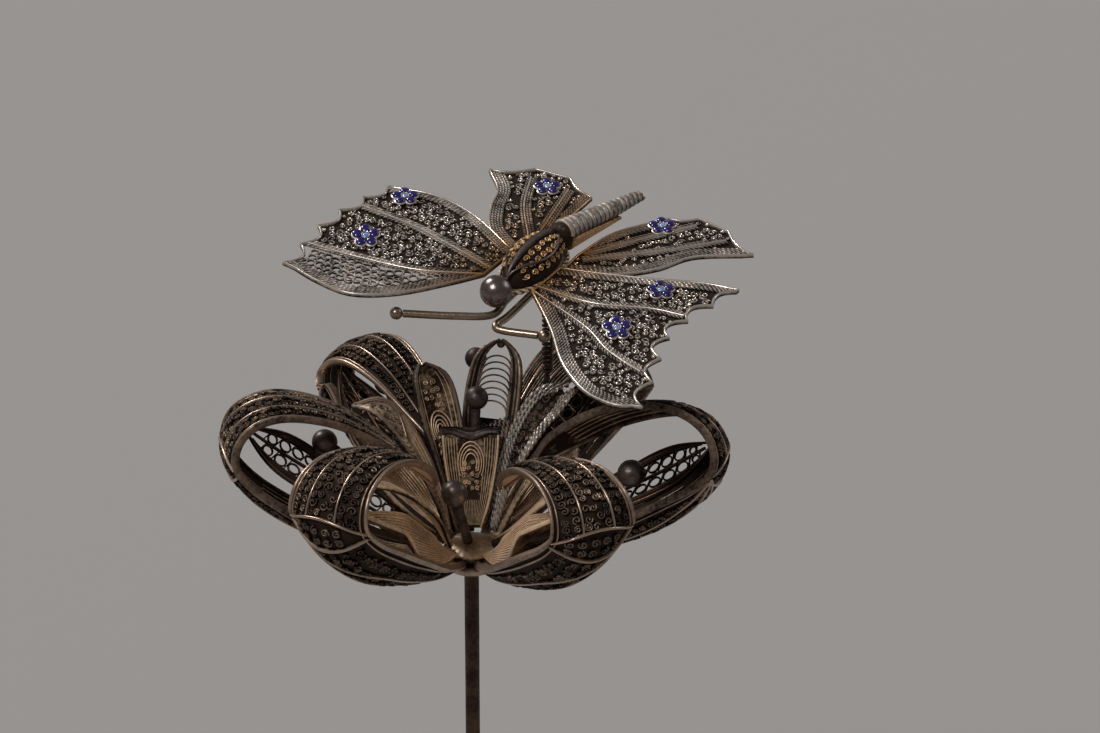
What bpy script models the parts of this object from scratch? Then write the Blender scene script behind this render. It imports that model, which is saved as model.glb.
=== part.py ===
"""A silver filigree hair pin: a flower on a long pin, and a butterfly that trembles on a coil spring."""

import math

import bmesh
import bpy
import numpy as np
from mathutils import Matrix, Vector

MM = 0.001

# Pin, collar and hub
STEM_RADIUS = 0.72
STEM_LENGTH = 112.0
STEM_POINT_LENGTH = 9.0
COLLAR_RADIUS = 2.3
COLLAR_HEIGHT = 0.95
HUB_RADIUS = 2.9
HUB_BOTTOM = 2.05
HUB_TOP = 3.3

# Outer petals: the path is a loop in the radial plane, as radius and height
PETAL_START = 2.1
PETAL_PATH = ((PETAL_START, 1.45), (8.0, 2.2), (14.0, 3.9), (19.0, 6.2), (23.2, 9.6), (24.9, 13.0),
              (23.4, 16.0), (19.5, 17.3), (14.0, 16.2), (9.0, 13.4), (6.2, 10.8))
PETAL_HALF_WIDTH = (0.8, 2.6, 3.7, 4.2, 4.35, 4.3, 4.0, 3.5, 2.7, 1.6, 0.35)
PETAL_CUP = (0.05, 1.5, 2.9, 3.4, 2.7, 1.6, 1.0, 0.8, 0.5, 0.2, 0.0)
PETAL_THICKNESS = 0.7
# Each outer petal: azimuth, reach factor, height factor, cup factor, roll at the hub, twist of the free end,
# and the sway and lean of its outermost part, a turn and a sideways shift
OUTER_PETALS = {
    "outer_petal_right": (-10.5, 0.99, 1.075, 0.8, -9.0, 75.0, 0.0, 0.0),
    "outer_petal_back_right": (57.0, 1.0, 0.98, 1.0, 0.0, 10.0, -20.0, -3.2),
    "outer_petal_back_left": (121.0, 0.99, 0.96, 1.0, 0.0, 12.0, 45.0, 3.1),
    "outer_petal_left": (187.0, 0.94, 1.05, 0.4, 10.0, 0.0, 0.0, 0.0),
    "outer_petal_front_left": (237.0, 0.98, 1.06, 1.0, 0.0, 0.0, 0.0, 0.0),
    "outer_petal_front_right": (299.0, 1.0, 1.02, 1.0, 0.0, 0.0, 0.0, 0.0),
}

# Where a petal's outermost part lies along it, and how far its sway and lean reach
SWAY_PLACE = 0.45
SWAY_REACH = 0.14

# Pierced leaves inside the outer petals
LINER_HALF_WIDTH = (0.5, 1.8, 2.9, 3.3, 3.2, 2.3, 0.4)
LINER_THICKNESS = 0.45
LINER_RISE = (2.75, 4.4, 6.3, 8.4, 10.5, 12.6, 14.9)
LINER_START = 3.1
LINER_END = 21.9
# Each liner: azimuth, reach factor, lift of its tip, roll, twist of its tip
LINERS = {
    "petal_liner_right": (-10.0, 1.06, -1.2, 12.0, 52.0),
    "petal_liner_back_right": (50.0, 1.0, 0.0, 0.0, 0.0),
    "petal_liner_back_left": (129.0, 0.95, 0.0, 0.0, 0.0),
    "petal_liner_left": (187.0, 0.96, 1.3, -28.0, -58.0),
    "petal_liner_front_left": (237.0, 1.0, 0.0, -50.0, 0.0),
    "petal_liner_front_right": (299.0, 1.0, 0.0, 50.0, 0.0),
}

# Inner petals: azimuth, path of radius and height, half widths, cup, twist
INNER_THICKNESS = 0.4
INNER_PETALS = {
    "inner_petal_broad": (91.0, ((1.3, 3.6), (1.8, 6.5), (2.5, 9.8), (3.2, 12.2), (3.9, 13.0)),
                          (0.9, 1.8, 2.3, 2.3, 2.1), 0.3, 0.0),
    "inner_petal_tall": (73.5, ((2.65, 3.0), (4.5, 8.0), (6.6, 13.6), (9.0, 18.2), (10.2, 20.0)),
                         (0.5, 2.0, 2.8, 2.4, 0.35), 0.3, 0.0),
    "inner_petal_cupped": (125.0, ((2.3, 3.2), (3.7, 8.4), (5.7, 13.6), (7.4, 17.0), (8.5, 18.6)),
                           (0.35, 1.5, 2.2, 2.0, 0.5), 0.9, 0.0),
    "inner_petal_curled": (163.5, ((2.2, 3.1), (3.9, 7.8), (6.6, 12.8), (9.3, 15.5), (11.9, 15.6)),
                           (0.4, 1.3, 2.0, 1.8, 0.3), 0.5, 0.0),
    "inner_petal_twist_edged": (30.0, ((2.4, 3.2), (4.0, 8.6), (6.4, 13.0), (8.8, 15.6), (11.2, 16.7)),
                                (0.4, 1.4, 2.1, 2.0, 0.3), 0.4, 35.0),
    "inner_petal_right": (9.5, ((2.6, 2.9), (4.6, 6.9), (6.9, 10.6), (8.8, 13.1), (10.6, 14.6)),
                          (0.4, 1.2, 1.7, 1.6, 0.3), 0.4, 0.0),
    "inner_petal_low": (214.0, ((2.5, 2.9), (4.4, 6.3), (6.8, 8.9), (9.2, 10.6), (11.6, 11.6)),
                        (0.5, 1.7, 2.3, 2.0, 0.3), 0.7, 0.0),
}

# Stamens: foot, ball centre, wire radius and ball radius
STAMENS = {
    "stamen_front": ((-0.3, -1.4, 3.5), (-1.5, -4.6, 9.9), 0.5, 1.3),
    "stamen_middle": ((-0.1, 2.1, 3.0), (0.5, 5.15, 15.7), 0.36, 1.15),
    "stamen_back": ((-0.7, 2.5, 3.0), (0.3, 13.2, 16.6), 0.42, 1.1),
    "stamen_left": ((-2.5, -0.4, 3.1), (-14.0, 0.4, 13.1), 0.45, 1.25),
    "stamen_right": ((2.2, -1.2, 3.0), (15.3, -4.9, 12.1), 0.45, 1.35),
    "stamen_back_left": ((-2.2, 1.4, 3.0), (-8.6, 14.2, 13.6), 0.42, 1.2),
}

# Coil spring and its tail
SPRING_AXIS = (7.37, 7.04)
SPRING_BOTTOM = 17.6
SPRING_MIDDLE = 23.25
SPRING_TOP = 28.75
SPRING_GAP = 0.16
SPRING_RADIUS = 0.42
SPRING_WIRE = 0.15
SPRING_PITCH = 0.42
TAIL_WIRE = 0.3
TAIL_PATH = ((1.75, 1.75, 3.0), (3.4, 3.4, 6.9), (5.3, 5.2, 11.6), (6.9, 6.7, 15.4), (7.37, 7.04, 17.35))

# Butterfly: centre of the thorax, and its attitude
BUTTERFLY_CENTRE = (5.94, 4.5, 29.82)
BODY_AZIMUTH = 57.5
BODY_PITCH = 8.9
BODY_ROLL = -7.0
THORAX_HALF_LENGTH = 4.6
THORAX_HALF_WIDTH = 2.3
THORAX_HEIGHT = 2.7
BASE_HALF_LENGTH = 5.1
BASE_HALF_WIDTH = 2.3
BASE_THICKNESS = 0.4
BASE_LEVEL = -0.75
HEAD_RADIUS = 1.55
HEAD_CENTRE = (6.45, 0.0, 0.25)
ABDOMEN_START = (-5.2, 0.0, 0.75)
ABDOMEN_END = (-20.2, 0.0, -2.4)
ABDOMEN_RADII = (0.64, 0.24)
ABDOMEN_WIRES = (0.36, 0.18)
ABDOMEN_TURNS = 17
TRAY_GAP = 0.3
TRAY_THICKNESS = 0.24
TRAY_SHARE = 0.66
TRAY_ARC = (-165.0, 0.0)
ANTENNA_WIRE = 0.38
ANTENNA_BALL = 0.62
ANTENNA_RIGHT = ((5.0, 0.2, -1.5), (7.3, 0.1, -1.9), (9.4, -2.7, -1.9), (11.9, -6.9, -1.8))
ANTENNA_LEFT = ((4.4, 1.7, -1.5), (7.0, 1.6, -1.8), (8.6, 1.4, -1.9), (8.9, 2.3, -2.0), (7.9, 5.6, -1.9))

# Wings in the plane of the butterfly: forward and outward of the thorax centre
WING_THICKNESS = 0.36
HINDWING_DROP = 0.45
WINGS = {
    "forewing_right": {
        "side": -1,
        "leading": ((4.4, 2.6), (7.7, 4.6), (11.8, 7.6), (14.3, 11.2), (14.2, 15.2), (13.2, 19.2)),
        "outer": ((13.2, 19.2), (4.0, 20.4), (-4.2, 19.2)),
        "trailing": ((-4.2, 19.2), (-5.3, 14.4), (-4.2, 9.2), (-0.8, 2.6)),
        "scallops": 5, "depth": 1.1,
    },
    "forewing_left": {
        "side": 1,
        "leading": ((4.4, 2.6), (8.9, 7.5), (13.2, 11.4), (16.1, 15.6), (16.6, 18.9), (15.6, 21.0)),
        "outer": ((15.6, 21.0), (9.6, 19.0), (4.2, 17.1), (-1.2, 17.3), (-6.8, 18.8)),
        "trailing": ((-6.8, 18.8), (-5.9, 15.2), (-3.4, 9.8), (-0.6, 2.6)),
        "scallops": 6, "depth": 1.1,
    },
    "hindwing_right": {
        "side": -1,
        "leading": ((-0.6, 2.6), (-3.4, 7.0), (-7.1, 9.4), (-10.2, 10.6), (-12.8, 13.2)),
        "outer": ((-12.8, 13.2), (-16.2, 7.6), (-14.0, 1.9)),
        "trailing": ((-14.0, 1.9), (-9.0, 1.8), (-4.2, 2.4)),
        "scallops": 3, "depth": 0.5,
    },
    "hindwing_left": {
        "side": 1,
        "leading": ((-0.6, 2.6), (-3.2, 7.4), (-6.2, 10.2), (-10.0, 12.0), (-13.4, 16.4)),
        "outer": ((-13.4, 16.4), (-16.6, 10.4), (-14.8, 6.2)),
        "trailing": ((-14.8, 6.2), (-9.6, 3.2), (-4.2, 2.4)),
        "scallops": 3, "depth": 0.5,
    },
}

# Enamel flowers: wing, forward, outward
ENAMEL_RADIUS = 1.42
ENAMEL_THICKNESS = 0.3
ENAMEL_FLOWERS = {
    "enamel_flower_forewing_right_front": ("forewing_right", 5.6, 15.4),
    "enamel_flower_forewing_right_rear": ("forewing_right", -3.0, 16.6),
    "enamel_flower_forewing_left_front": ("forewing_left", 6.1, 13.1),
    "enamel_flower_forewing_left_rear": ("forewing_left", -2.2, 12.9),
    "enamel_flower_hindwing_right": ("hindwing_right", -13.0, 6.5),
    "enamel_flower_hindwing_left": ("hindwing_left", -12.9, 6.7),
}

# Colour, roughness and metallic of each material
MATERIALS = {
    "dark_wire": ((0.10, 0.075, 0.06), 0.42, 1.0),
    "petal_silver": ((0.26, 0.20, 0.15), 0.45, 1.0),
    "gilt_silver": ((0.42, 0.32, 0.21), 0.42, 1.0),
    "wing_silver": ((0.55, 0.52, 0.48), 0.38, 1.0),
    "ball_silver": ((0.22, 0.19, 0.20), 0.32, 1.0),
    "blue_enamel": ((0.03, 0.03, 0.35), 0.25, 0.0),
}


def clear_scene():
    for old in list(bpy.data.objects):
        bpy.data.objects.remove(old, do_unlink=True)


def make_collection(name):
    made = bpy.data.collections.new(name)
    bpy.context.scene.collection.children.link(made)
    return made


def make_material(name):
    colour, roughness, metallic = MATERIALS[name]
    made = bpy.data.materials.new(name)
    made.use_nodes = True
    shader = made.node_tree.nodes["Principled BSDF"]
    shader.inputs["Base Color"].default_value = (*colour, 1.0)
    shader.inputs["Roughness"].default_value = roughness
    shader.inputs["Metallic"].default_value = metallic
    made.diffuse_color = (*colour, 1.0)
    return made


def add_object(name, data, material, matrix=None):
    made = bpy.data.objects.new(name, data)
    data.materials.append(bpy.data.materials[material])
    if matrix is not None:
        made.matrix_world = matrix
    bpy.data.collections["filigree_hair_pin"].objects.link(made)
    return made


def attach(pivot_name, location, names):
    """Hangs pieces on an empty at their joint, leaving them where they are."""
    pivot = bpy.data.objects.new(pivot_name, None)
    pivot.empty_display_size = 2 * MM
    pivot.location = Vector(location) * MM
    bpy.data.collections["filigree_hair_pin"].objects.link(pivot)
    for name in names:
        piece = bpy.data.objects[name]
        piece.parent = pivot
        piece.matrix_parent_inverse = Matrix.Translation(-pivot.location)
    return pivot


def smooth(points, position):
    """The point at position 0 to 1 on a Catmull-Rom curve through the points."""
    points = np.asarray(points, float)
    if points.ndim == 1:
        points = points[:, None]
    spans = len(points) - 1
    place = min(max(position, 0.0), 1.0) * spans
    index = min(int(place), spans - 1)
    part = place - index
    before = points[index - 1] if index > 0 else 2 * points[0] - points[1]
    after = points[index + 2] if index + 2 <= spans else 2 * points[-1] - points[-2]
    start = points[index]
    end = points[index + 1]
    value = 0.5 * (2 * start + (end - before) * part
                   + (2 * before - 5 * start + 4 * end - after) * part ** 2
                   + (3 * start - before - 3 * end + after) * part ** 3)
    return value if len(value) > 1 else float(value[0])


def radial_leaf(azimuth, path, half_widths, cups, roll, twist, sway=0.0, lean=0.0):
    """Returns a function from across (-1 to 1) and along (0 to 1) to a point of a leaf on the hub.

    The leaf starts with a roll that fades past its middle, and twists towards its free end. Its
    middle is turned by a sway and shifted sideways by a lean.
    """
    outward = Vector((math.cos(math.radians(azimuth)), math.sin(math.radians(azimuth)), 0.0))
    sideways = Vector((-outward.y, outward.x, 0.0))
    up = Vector((0.0, 0.0, 1.0))

    def place(across, along):
        radius, height = smooth(path, along)
        ahead = smooth(path, min(along + 0.01, 1.0)) - smooth(path, max(along - 0.01, 0.0))
        ahead = ahead / np.linalg.norm(ahead)
        inward = outward * -ahead[1] + up * ahead[0]
        fade = 1.0 - min(max((along - 0.35) / 0.3, 0.0), 1.0)
        middle = math.exp(-((along - SWAY_PLACE) / SWAY_REACH) ** 2)
        turn = math.radians(roll * fade * min(along * 8.0, 1.0) + twist * along ** 3 + sway * middle)
        side = sideways * math.cos(turn) + inward * math.sin(turn)
        face = inward * math.cos(turn) - sideways * math.sin(turn)
        width = smooth(half_widths, along)
        cup = smooth(cups, along)
        centre = outward * radius + up * height + sideways * (lean * middle)
        return centre + side * (across * width) + face * (cup * across ** 2)

    return place


def add_leaf(name, place, columns, rows, thickness, material):
    grid = bmesh.new()
    bmesh.ops.create_grid(grid, x_segments=columns, y_segments=rows, size=1.0)
    for vert in grid.verts:
        vert.co = place(vert.co.x, (vert.co.y + 1.0) / 2.0) * MM
    mesh = bpy.data.meshes.new(name)
    grid.to_mesh(mesh)
    grid.free()
    mesh.shade_smooth()
    made = add_object(name, mesh, material)
    solid = made.modifiers.new("Thickness", "SOLIDIFY")
    solid.thickness = thickness * MM
    solid.offset = 0.0
    return made


def add_turned(name, profile, steps, material, matrix=None):
    """Turns a profile of radius and height, listed from the top down, round the local Z axis."""
    mesh = bpy.data.meshes.new(name)
    points = [(radius * MM, 0.0, height * MM) for radius, height in profile]
    edges = [(index, index + 1) for index in range(len(points) - 1)]
    mesh.from_pydata(points, edges, [])
    made = add_object(name, mesh, material, matrix)
    screw = made.modifiers.new("Turn", "SCREW")
    screw.steps = steps
    screw.render_steps = steps
    screw.use_merge_vertices = True
    screw.merge_threshold = 0.00001
    screw.use_smooth_shade = True
    return made


def add_wire(name, points, radius, resolution, material, radii=None, matrix=None):
    curve = bpy.data.curves.new(name, "CURVE")
    curve.dimensions = "3D"
    curve.bevel_depth = radius * MM
    curve.bevel_resolution = resolution
    curve.use_fill_caps = True
    spline = curve.splines.new("POLY")
    spline.points.add(len(points) - 1)
    for index, point in enumerate(points):
        spline.points[index].co = (*(Vector(point) * MM), 1.0)
        spline.points[index].radius = radii[index] if radii else 1.0
    spline.use_smooth = True
    return add_object(name, curve, material, matrix)


def add_plate(name, outline, thickness, material, matrix):
    curve = bpy.data.curves.new(name, "CURVE")
    curve.dimensions = "2D"
    curve.fill_mode = "BOTH"
    curve.extrude = thickness / 2 * MM
    spline = curve.splines.new("POLY")
    spline.points.add(len(outline) - 1)
    for index, (x, y) in enumerate(outline):
        spline.points[index].co = (x * MM, y * MM, 0.0, 1.0)
    spline.use_cyclic_u = True
    return add_object(name, curve, material, matrix)


def sampled(path, count):
    return [smooth(path, index / (count - 1)) for index in range(count)]


def helix(centre, bottom, top, radius, pitch, per_turn):
    """Points of an upright coil between two heights."""
    turns = (top - bottom) / pitch
    count = int(turns * per_turn)
    points = []
    for index in range(count + 1):
        angle = 2 * math.pi * turns * index / count
        height = bottom + (top - bottom) * index / count
        points.append((centre[0] + radius * math.cos(angle), centre[1] + radius * math.sin(angle), height))
    return points


def along_axis(start, end):
    """A matrix with its origin at start and its Z axis towards end."""
    direction = Vector(end) - Vector(start)
    turn = direction.to_track_quat("Z", "Y").to_matrix().to_4x4()
    return Matrix.Translation(Vector(start) * MM) @ turn


def ball_profile(radius, foot, centre, count):
    """Profile of a ball with a neck of radius foot below it, from the top down."""
    last = math.pi - math.asin(min(foot / radius, 1.0))
    points = []
    for index in range(count + 1):
        angle = last * index / count
        points.append((radius * math.sin(angle), centre + radius * math.cos(angle)))
    return points


def body_matrix():
    """The butterfly's frame: X forwards to the head, Y to its left wings, Z up."""
    turn = (Matrix.Rotation(math.radians(BODY_AZIMUTH + 180.0), 4, "Z")
            @ Matrix.Rotation(math.radians(BODY_PITCH), 4, "Y")
            @ Matrix.Rotation(math.radians(BODY_ROLL), 4, "X"))
    return Matrix.Translation(Vector(BUTTERFLY_CENTRE) * MM) @ turn


def wing_outline(wing):
    """Leading edge, scalloped outer edge and trailing edge as one closed outline."""
    outline = [tuple(point) for point in sampled(wing["leading"], 12)]
    steps = wing["scallops"] * 6
    for index in range(1, steps):
        share = index / steps
        forward, outward = smooth(wing["outer"], share)
        dip = wing["depth"] * (0.5 - abs(math.sin(math.pi * wing["scallops"] * share)))
        ahead = smooth(wing["outer"], share + 0.02) - smooth(wing["outer"], share - 0.02)
        ahead = ahead / np.linalg.norm(ahead)
        outline.append((forward + ahead[1] * dip, outward - ahead[0] * dip))
    outline.extend(tuple(point) for point in sampled(wing["trailing"], 9))
    return outline


def build_pin():
    point = STEM_POINT_LENGTH
    stem = ((0.0, COLLAR_HEIGHT), (STEM_RADIUS, COLLAR_HEIGHT), (STEM_RADIUS, 0.0),
            (STEM_RADIUS * 0.9, point - STEM_LENGTH), (STEM_RADIUS * 0.6, point / 3 - STEM_LENGTH),
            (0.15, 0.2 - STEM_LENGTH), (0.0, -STEM_LENGTH))
    add_turned("pin_stem", stem, 16, "dark_wire")
    inner = STEM_RADIUS + 0.05
    add_turned("collar", ((inner, COLLAR_HEIGHT), (COLLAR_RADIUS - 0.2, COLLAR_HEIGHT), (COLLAR_RADIUS, 0.7),
                          (COLLAR_RADIUS, 0.2), (COLLAR_RADIUS - 0.2, 0.0), (inner, 0.0),
                          (inner, COLLAR_HEIGHT)), 18, "petal_silver")
    hub = ((0.0, HUB_TOP), (0.6, HUB_TOP - 0.1), (0.95, HUB_TOP - 0.5), (HUB_RADIUS - 0.2, HUB_BOTTOM + 0.6),
           (HUB_RADIUS, HUB_BOTTOM + 0.4), (HUB_RADIUS, HUB_BOTTOM + 0.1), (HUB_RADIUS - 0.2, HUB_BOTTOM),
           (1.6, HUB_BOTTOM), (1.5, COLLAR_HEIGHT + 0.1), (0.0, COLLAR_HEIGHT + 0.1))
    add_turned("hub", hub, 18, "gilt_silver")


def build_flower():
    peak = max(height for radius, height in PETAL_PATH)
    for name, (azimuth, reach, tall, cup, roll, twist, sway, lean) in OUTER_PETALS.items():
        path = [(PETAL_START + (radius - PETAL_START) * reach, height * (1 + (tall - 1) * height / peak))
                for radius, height in PETAL_PATH]
        cups = [cup * depth for depth in PETAL_CUP]
        place = radial_leaf(azimuth, path, PETAL_HALF_WIDTH, cups, roll, twist, sway, lean)
        add_leaf(name, place, 4, 22, PETAL_THICKNESS, "petal_silver")
    for name, (azimuth, reach, lift, roll, twist) in LINERS.items():
        last = len(LINER_RISE) - 1
        span = (LINER_END - LINER_START) * reach
        path = [(LINER_START + span * index / last, height * reach + lift * index / last)
                for index, height in enumerate(LINER_RISE)]
        place = radial_leaf(azimuth, path, LINER_HALF_WIDTH, (0.0, 0.0), roll, twist)
        add_leaf(name, place, 4, 14, LINER_THICKNESS, "gilt_silver")
    for name, (azimuth, path, widths, cup, twist) in INNER_PETALS.items():
        place = radial_leaf(azimuth, path, widths, (0.05, cup, cup, cup, 0.1), 0.0, twist)
        add_leaf(name, place, 4, 10, INNER_THICKNESS, "gilt_silver")
    for name, (foot, ball, wire, radius) in STAMENS.items():
        length = (Vector(ball) - Vector(foot)).length
        profile = ball_profile(radius, wire, length, 7) + [(wire, 0.0), (0.0, 0.0)]
        add_turned(name, profile, 12, "ball_silver", along_axis(foot, ball))


def build_spring():
    add_wire("spring_tail", sampled(TAIL_PATH, 12), TAIL_WIRE, 1, "dark_wire")
    half_gap = SPRING_GAP / 2
    reach = SPRING_WIRE + half_gap
    add_wire("spring_lower_coil", helix(SPRING_AXIS, SPRING_BOTTOM + reach, SPRING_MIDDLE - reach,
                                        SPRING_RADIUS, SPRING_PITCH, 7), SPRING_WIRE, 1, "dark_wire")
    add_wire("spring_upper_coil", helix(SPRING_AXIS, SPRING_MIDDLE + reach, SPRING_TOP - reach,
                                        SPRING_RADIUS, SPRING_PITCH, 7), SPRING_WIRE, 1, "dark_wire")


def build_body(frame):
    half = BASE_HALF_LENGTH
    outline = [(half * math.cos(angle), BASE_HALF_WIDTH * math.sin(angle) * (1 - 0.15 * math.cos(angle)))
               for angle in np.linspace(0, 2 * math.pi, 28, endpoint=False)]
    level = Matrix.Translation((0.0, 0.0, BASE_LEVEL * MM))
    add_plate("thorax_base_plate", outline, BASE_THICKNESS, "gilt_silver", frame @ level)
    dome = bmesh.new()
    bmesh.ops.create_uvsphere(dome, u_segments=20, v_segments=12, radius=1.0)
    cut = BASE_LEVEL + BASE_THICKNESS / 2 + 0.05
    bmesh.ops.scale(dome, vec=(THORAX_HALF_LENGTH, THORAX_HALF_WIDTH, THORAX_HEIGHT), verts=dome.verts)
    sliced = bmesh.ops.bisect_plane(dome, geom=dome.verts[:] + dome.edges[:] + dome.faces[:],
                                    plane_co=(0.0, 0.0, cut), plane_no=(0.0, 0.0, -1.0), clear_outer=True)
    rim = [item for item in sliced["geom_cut"] if isinstance(item, bmesh.types.BMEdge)]
    bmesh.ops.holes_fill(dome, edges=rim)
    bmesh.ops.scale(dome, vec=(MM, MM, MM), verts=dome.verts)
    mesh = bpy.data.meshes.new("thorax_dome")
    dome.to_mesh(mesh)
    dome.free()
    mesh.shade_smooth()
    add_object("thorax_dome", mesh, "gilt_silver", frame)
    head = frame @ Matrix.Translation(Vector(HEAD_CENTRE) * MM)
    add_turned("head_ball", ball_profile(HEAD_RADIUS, 0.0, 0.0, 9), 16, "ball_silver", head)


def build_abdomen(frame):
    start = Vector(ABDOMEN_START)
    end = Vector(ABDOMEN_END)
    axis = end - start
    side = Vector((0.0, 1.0, 0.0))
    upward = side.cross(axis.normalized())
    count = 10
    core = [start.lerp(end, index / (count - 1)) for index in range(count)]
    radii = [smooth(ABDOMEN_RADII, index / (count - 1)) for index in range(count)]
    add_wire("abdomen_core", core, 1.0, 2, "gilt_silver", radii, frame)
    per_turn = 8
    steps = ABDOMEN_TURNS * per_turn
    coil = []
    thickness = []
    for index in range(steps + 1):
        share = index / steps
        thickness.append(smooth(ABDOMEN_WIRES, share))
        angle = 2 * math.pi * index / per_turn
        radius = smooth(ABDOMEN_RADII, share) + smooth(ABDOMEN_WIRES, share) + 0.06
        coil.append(start.lerp(end, 0.01 + 0.98 * share)
                    + (side * math.cos(angle) + upward * math.sin(angle)) * radius)
    add_wire("abdomen_coil", coil, 1.0, 1, "wing_silver", thickness, frame)

    def tray(across, along):
        share = along * TRAY_SHARE
        radius = smooth(ABDOMEN_RADII, share) + 2 * smooth(ABDOMEN_WIRES, share) + TRAY_GAP
        middle = sum(TRAY_ARC) / 2
        half = (TRAY_ARC[1] - TRAY_ARC[0]) / 2
        angle = math.radians(middle + half * across * (1.0 - 0.45 * along ** 2))
        outward = side * math.cos(angle) + upward * math.sin(angle)
        point = start.lerp(end, 0.01 + 0.98 * share) + outward * radius
        return (frame @ (point * MM)) / MM

    add_leaf("abdomen_tray", tray, 8, 8, TRAY_THICKNESS, "gilt_silver")


def build_antennae(frame):
    for name, path in (("antenna_right", ANTENNA_RIGHT), ("antenna_left", ANTENNA_LEFT)):
        wire = sampled(path, 11)
        points = list(wire)
        radii = [1.0] * len(points)
        ahead = Vector(wire[-1] - wire[-2]).normalized()
        swell = ANTENNA_BALL / ANTENNA_WIRE
        for index in range(1, 9):
            angle = math.pi * index / 8
            points.append(Vector(wire[-1]) + ahead * ANTENNA_BALL * (1.0 - math.cos(angle)))
            radii.append(max(swell * math.sin(angle), 0.2))
        add_wire(name, points, ANTENNA_WIRE, 1, "ball_silver", radii, frame)


def build_wings(frame):
    for name, wing in WINGS.items():
        drop = HINDWING_DROP if name.startswith("hindwing") else 0.0
        outline = [(forward, outward * wing["side"]) for forward, outward in wing_outline(wing)]
        level = Matrix.Translation((0.0, 0.0, -drop * MM))
        add_plate(name, outline, WING_THICKNESS, "wing_silver", frame @ level)
    for name, (wing, forward, outward) in ENAMEL_FLOWERS.items():
        drop = HINDWING_DROP if wing.startswith("hindwing") else 0.0
        level = (WING_THICKNESS + ENAMEL_THICKNESS) / 2 + 0.04 - drop
        centre = Vector((forward, outward * WINGS[wing]["side"], level))
        outline = []
        for index in range(30):
            angle = 2 * math.pi * index / 30
            reach = ENAMEL_RADIUS * (0.72 + 0.28 * abs(math.cos(2.5 * angle)))
            outline.append((reach * math.cos(angle), reach * math.sin(angle)))
        add_plate(name, outline, ENAMEL_THICKNESS, "blue_enamel", frame @ Matrix.Translation(centre * MM))


def build():
    clear_scene()
    make_collection("filigree_hair_pin")
    for name in MATERIALS:
        make_material(name)
    build_pin()
    build_flower()
    build_spring()
    frame = body_matrix()
    build_body(frame)
    build_abdomen(frame)
    build_antennae(frame)
    build_wings(frame)
    butterfly = ["spring_upper_coil", "thorax_base_plate", "thorax_dome", "head_ball", "abdomen_core",
                 "abdomen_coil", "abdomen_tray", "antenna_right", "antenna_left", *WINGS, *ENAMEL_FLOWERS]
    sway = attach("spring_sway_pivot", (*SPRING_AXIS, SPRING_BOTTOM), ["spring_lower_coil"])
    nod = attach("butterfly_nod_pivot", (*SPRING_AXIS, SPRING_MIDDLE), butterfly)
    nod.parent = sway
    nod.matrix_parent_inverse = Matrix.Translation(-sway.location)


build()
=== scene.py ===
import math

import bpy
import numpy as np
from mathutils import Matrix, Vector


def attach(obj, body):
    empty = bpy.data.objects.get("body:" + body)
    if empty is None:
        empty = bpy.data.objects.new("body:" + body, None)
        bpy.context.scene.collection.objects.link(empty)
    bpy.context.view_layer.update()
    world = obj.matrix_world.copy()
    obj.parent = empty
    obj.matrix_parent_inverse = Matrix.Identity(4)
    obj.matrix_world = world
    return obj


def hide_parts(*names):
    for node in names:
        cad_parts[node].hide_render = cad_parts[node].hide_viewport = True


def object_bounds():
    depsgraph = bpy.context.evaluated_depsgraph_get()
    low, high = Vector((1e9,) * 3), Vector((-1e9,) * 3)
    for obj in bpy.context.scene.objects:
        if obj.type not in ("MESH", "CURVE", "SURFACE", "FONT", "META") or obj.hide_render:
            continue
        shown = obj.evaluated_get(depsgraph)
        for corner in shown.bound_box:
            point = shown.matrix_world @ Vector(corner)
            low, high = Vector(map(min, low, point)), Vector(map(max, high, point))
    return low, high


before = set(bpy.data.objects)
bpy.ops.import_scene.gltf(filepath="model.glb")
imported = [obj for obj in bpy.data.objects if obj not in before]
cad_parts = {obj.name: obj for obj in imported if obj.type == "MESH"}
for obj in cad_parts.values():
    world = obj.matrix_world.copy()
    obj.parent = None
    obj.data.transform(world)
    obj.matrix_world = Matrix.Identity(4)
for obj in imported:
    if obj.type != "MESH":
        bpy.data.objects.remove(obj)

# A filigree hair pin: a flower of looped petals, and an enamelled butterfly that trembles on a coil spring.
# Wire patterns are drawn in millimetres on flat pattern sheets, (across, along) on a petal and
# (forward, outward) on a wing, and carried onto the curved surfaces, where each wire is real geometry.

MM = 0.001
CAD_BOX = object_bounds()
PIN, COIL, BUTTERFLY = "pin_and_flower", "spring_coil", "butterfly"

# The camera, in millimetres and degrees.
CAMERA_AIM = (7.6, 0.0, 21.06)
CAMERA_DISTANCE = 392.0
CAMERA_ELEVATION = 22.0
CAMERA_LENS = 135.0

# Stem, collar and hub.
STEM_RADIUS = 0.72
STEM_LENGTH = 112.0
STEM_POINT_LENGTH = 9.0
COLLAR_RADIUS = 2.3
COLLAR_HEIGHT = 0.95
HUB_RADIUS = 2.9
HUB_BOTTOM = 2.05
HUB_TOP = 3.3

# Looped outer petals: the midrib's (radius, height), and at the same stations the half width and the cup.
PETAL_START = 2.1
PETAL_PATH = ((2.1, 1.45), (8.0, 2.2), (14.0, 3.9), (19.0, 6.2), (23.2, 9.6), (24.9, 13.0),
              (23.4, 16.0), (19.5, 17.3), (14.0, 16.2), (9.0, 13.4), (6.2, 10.8))
PETAL_HALF_WIDTH = (0.8, 2.6, 3.7, 4.2, 4.35, 4.3, 4.0, 3.5, 2.7, 1.6, 0.35)
PETAL_CUP = (0.05, 1.5, 2.9, 3.4, 2.7, 1.6, 1.0, 0.8, 0.5, 0.2, 0.0)
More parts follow.
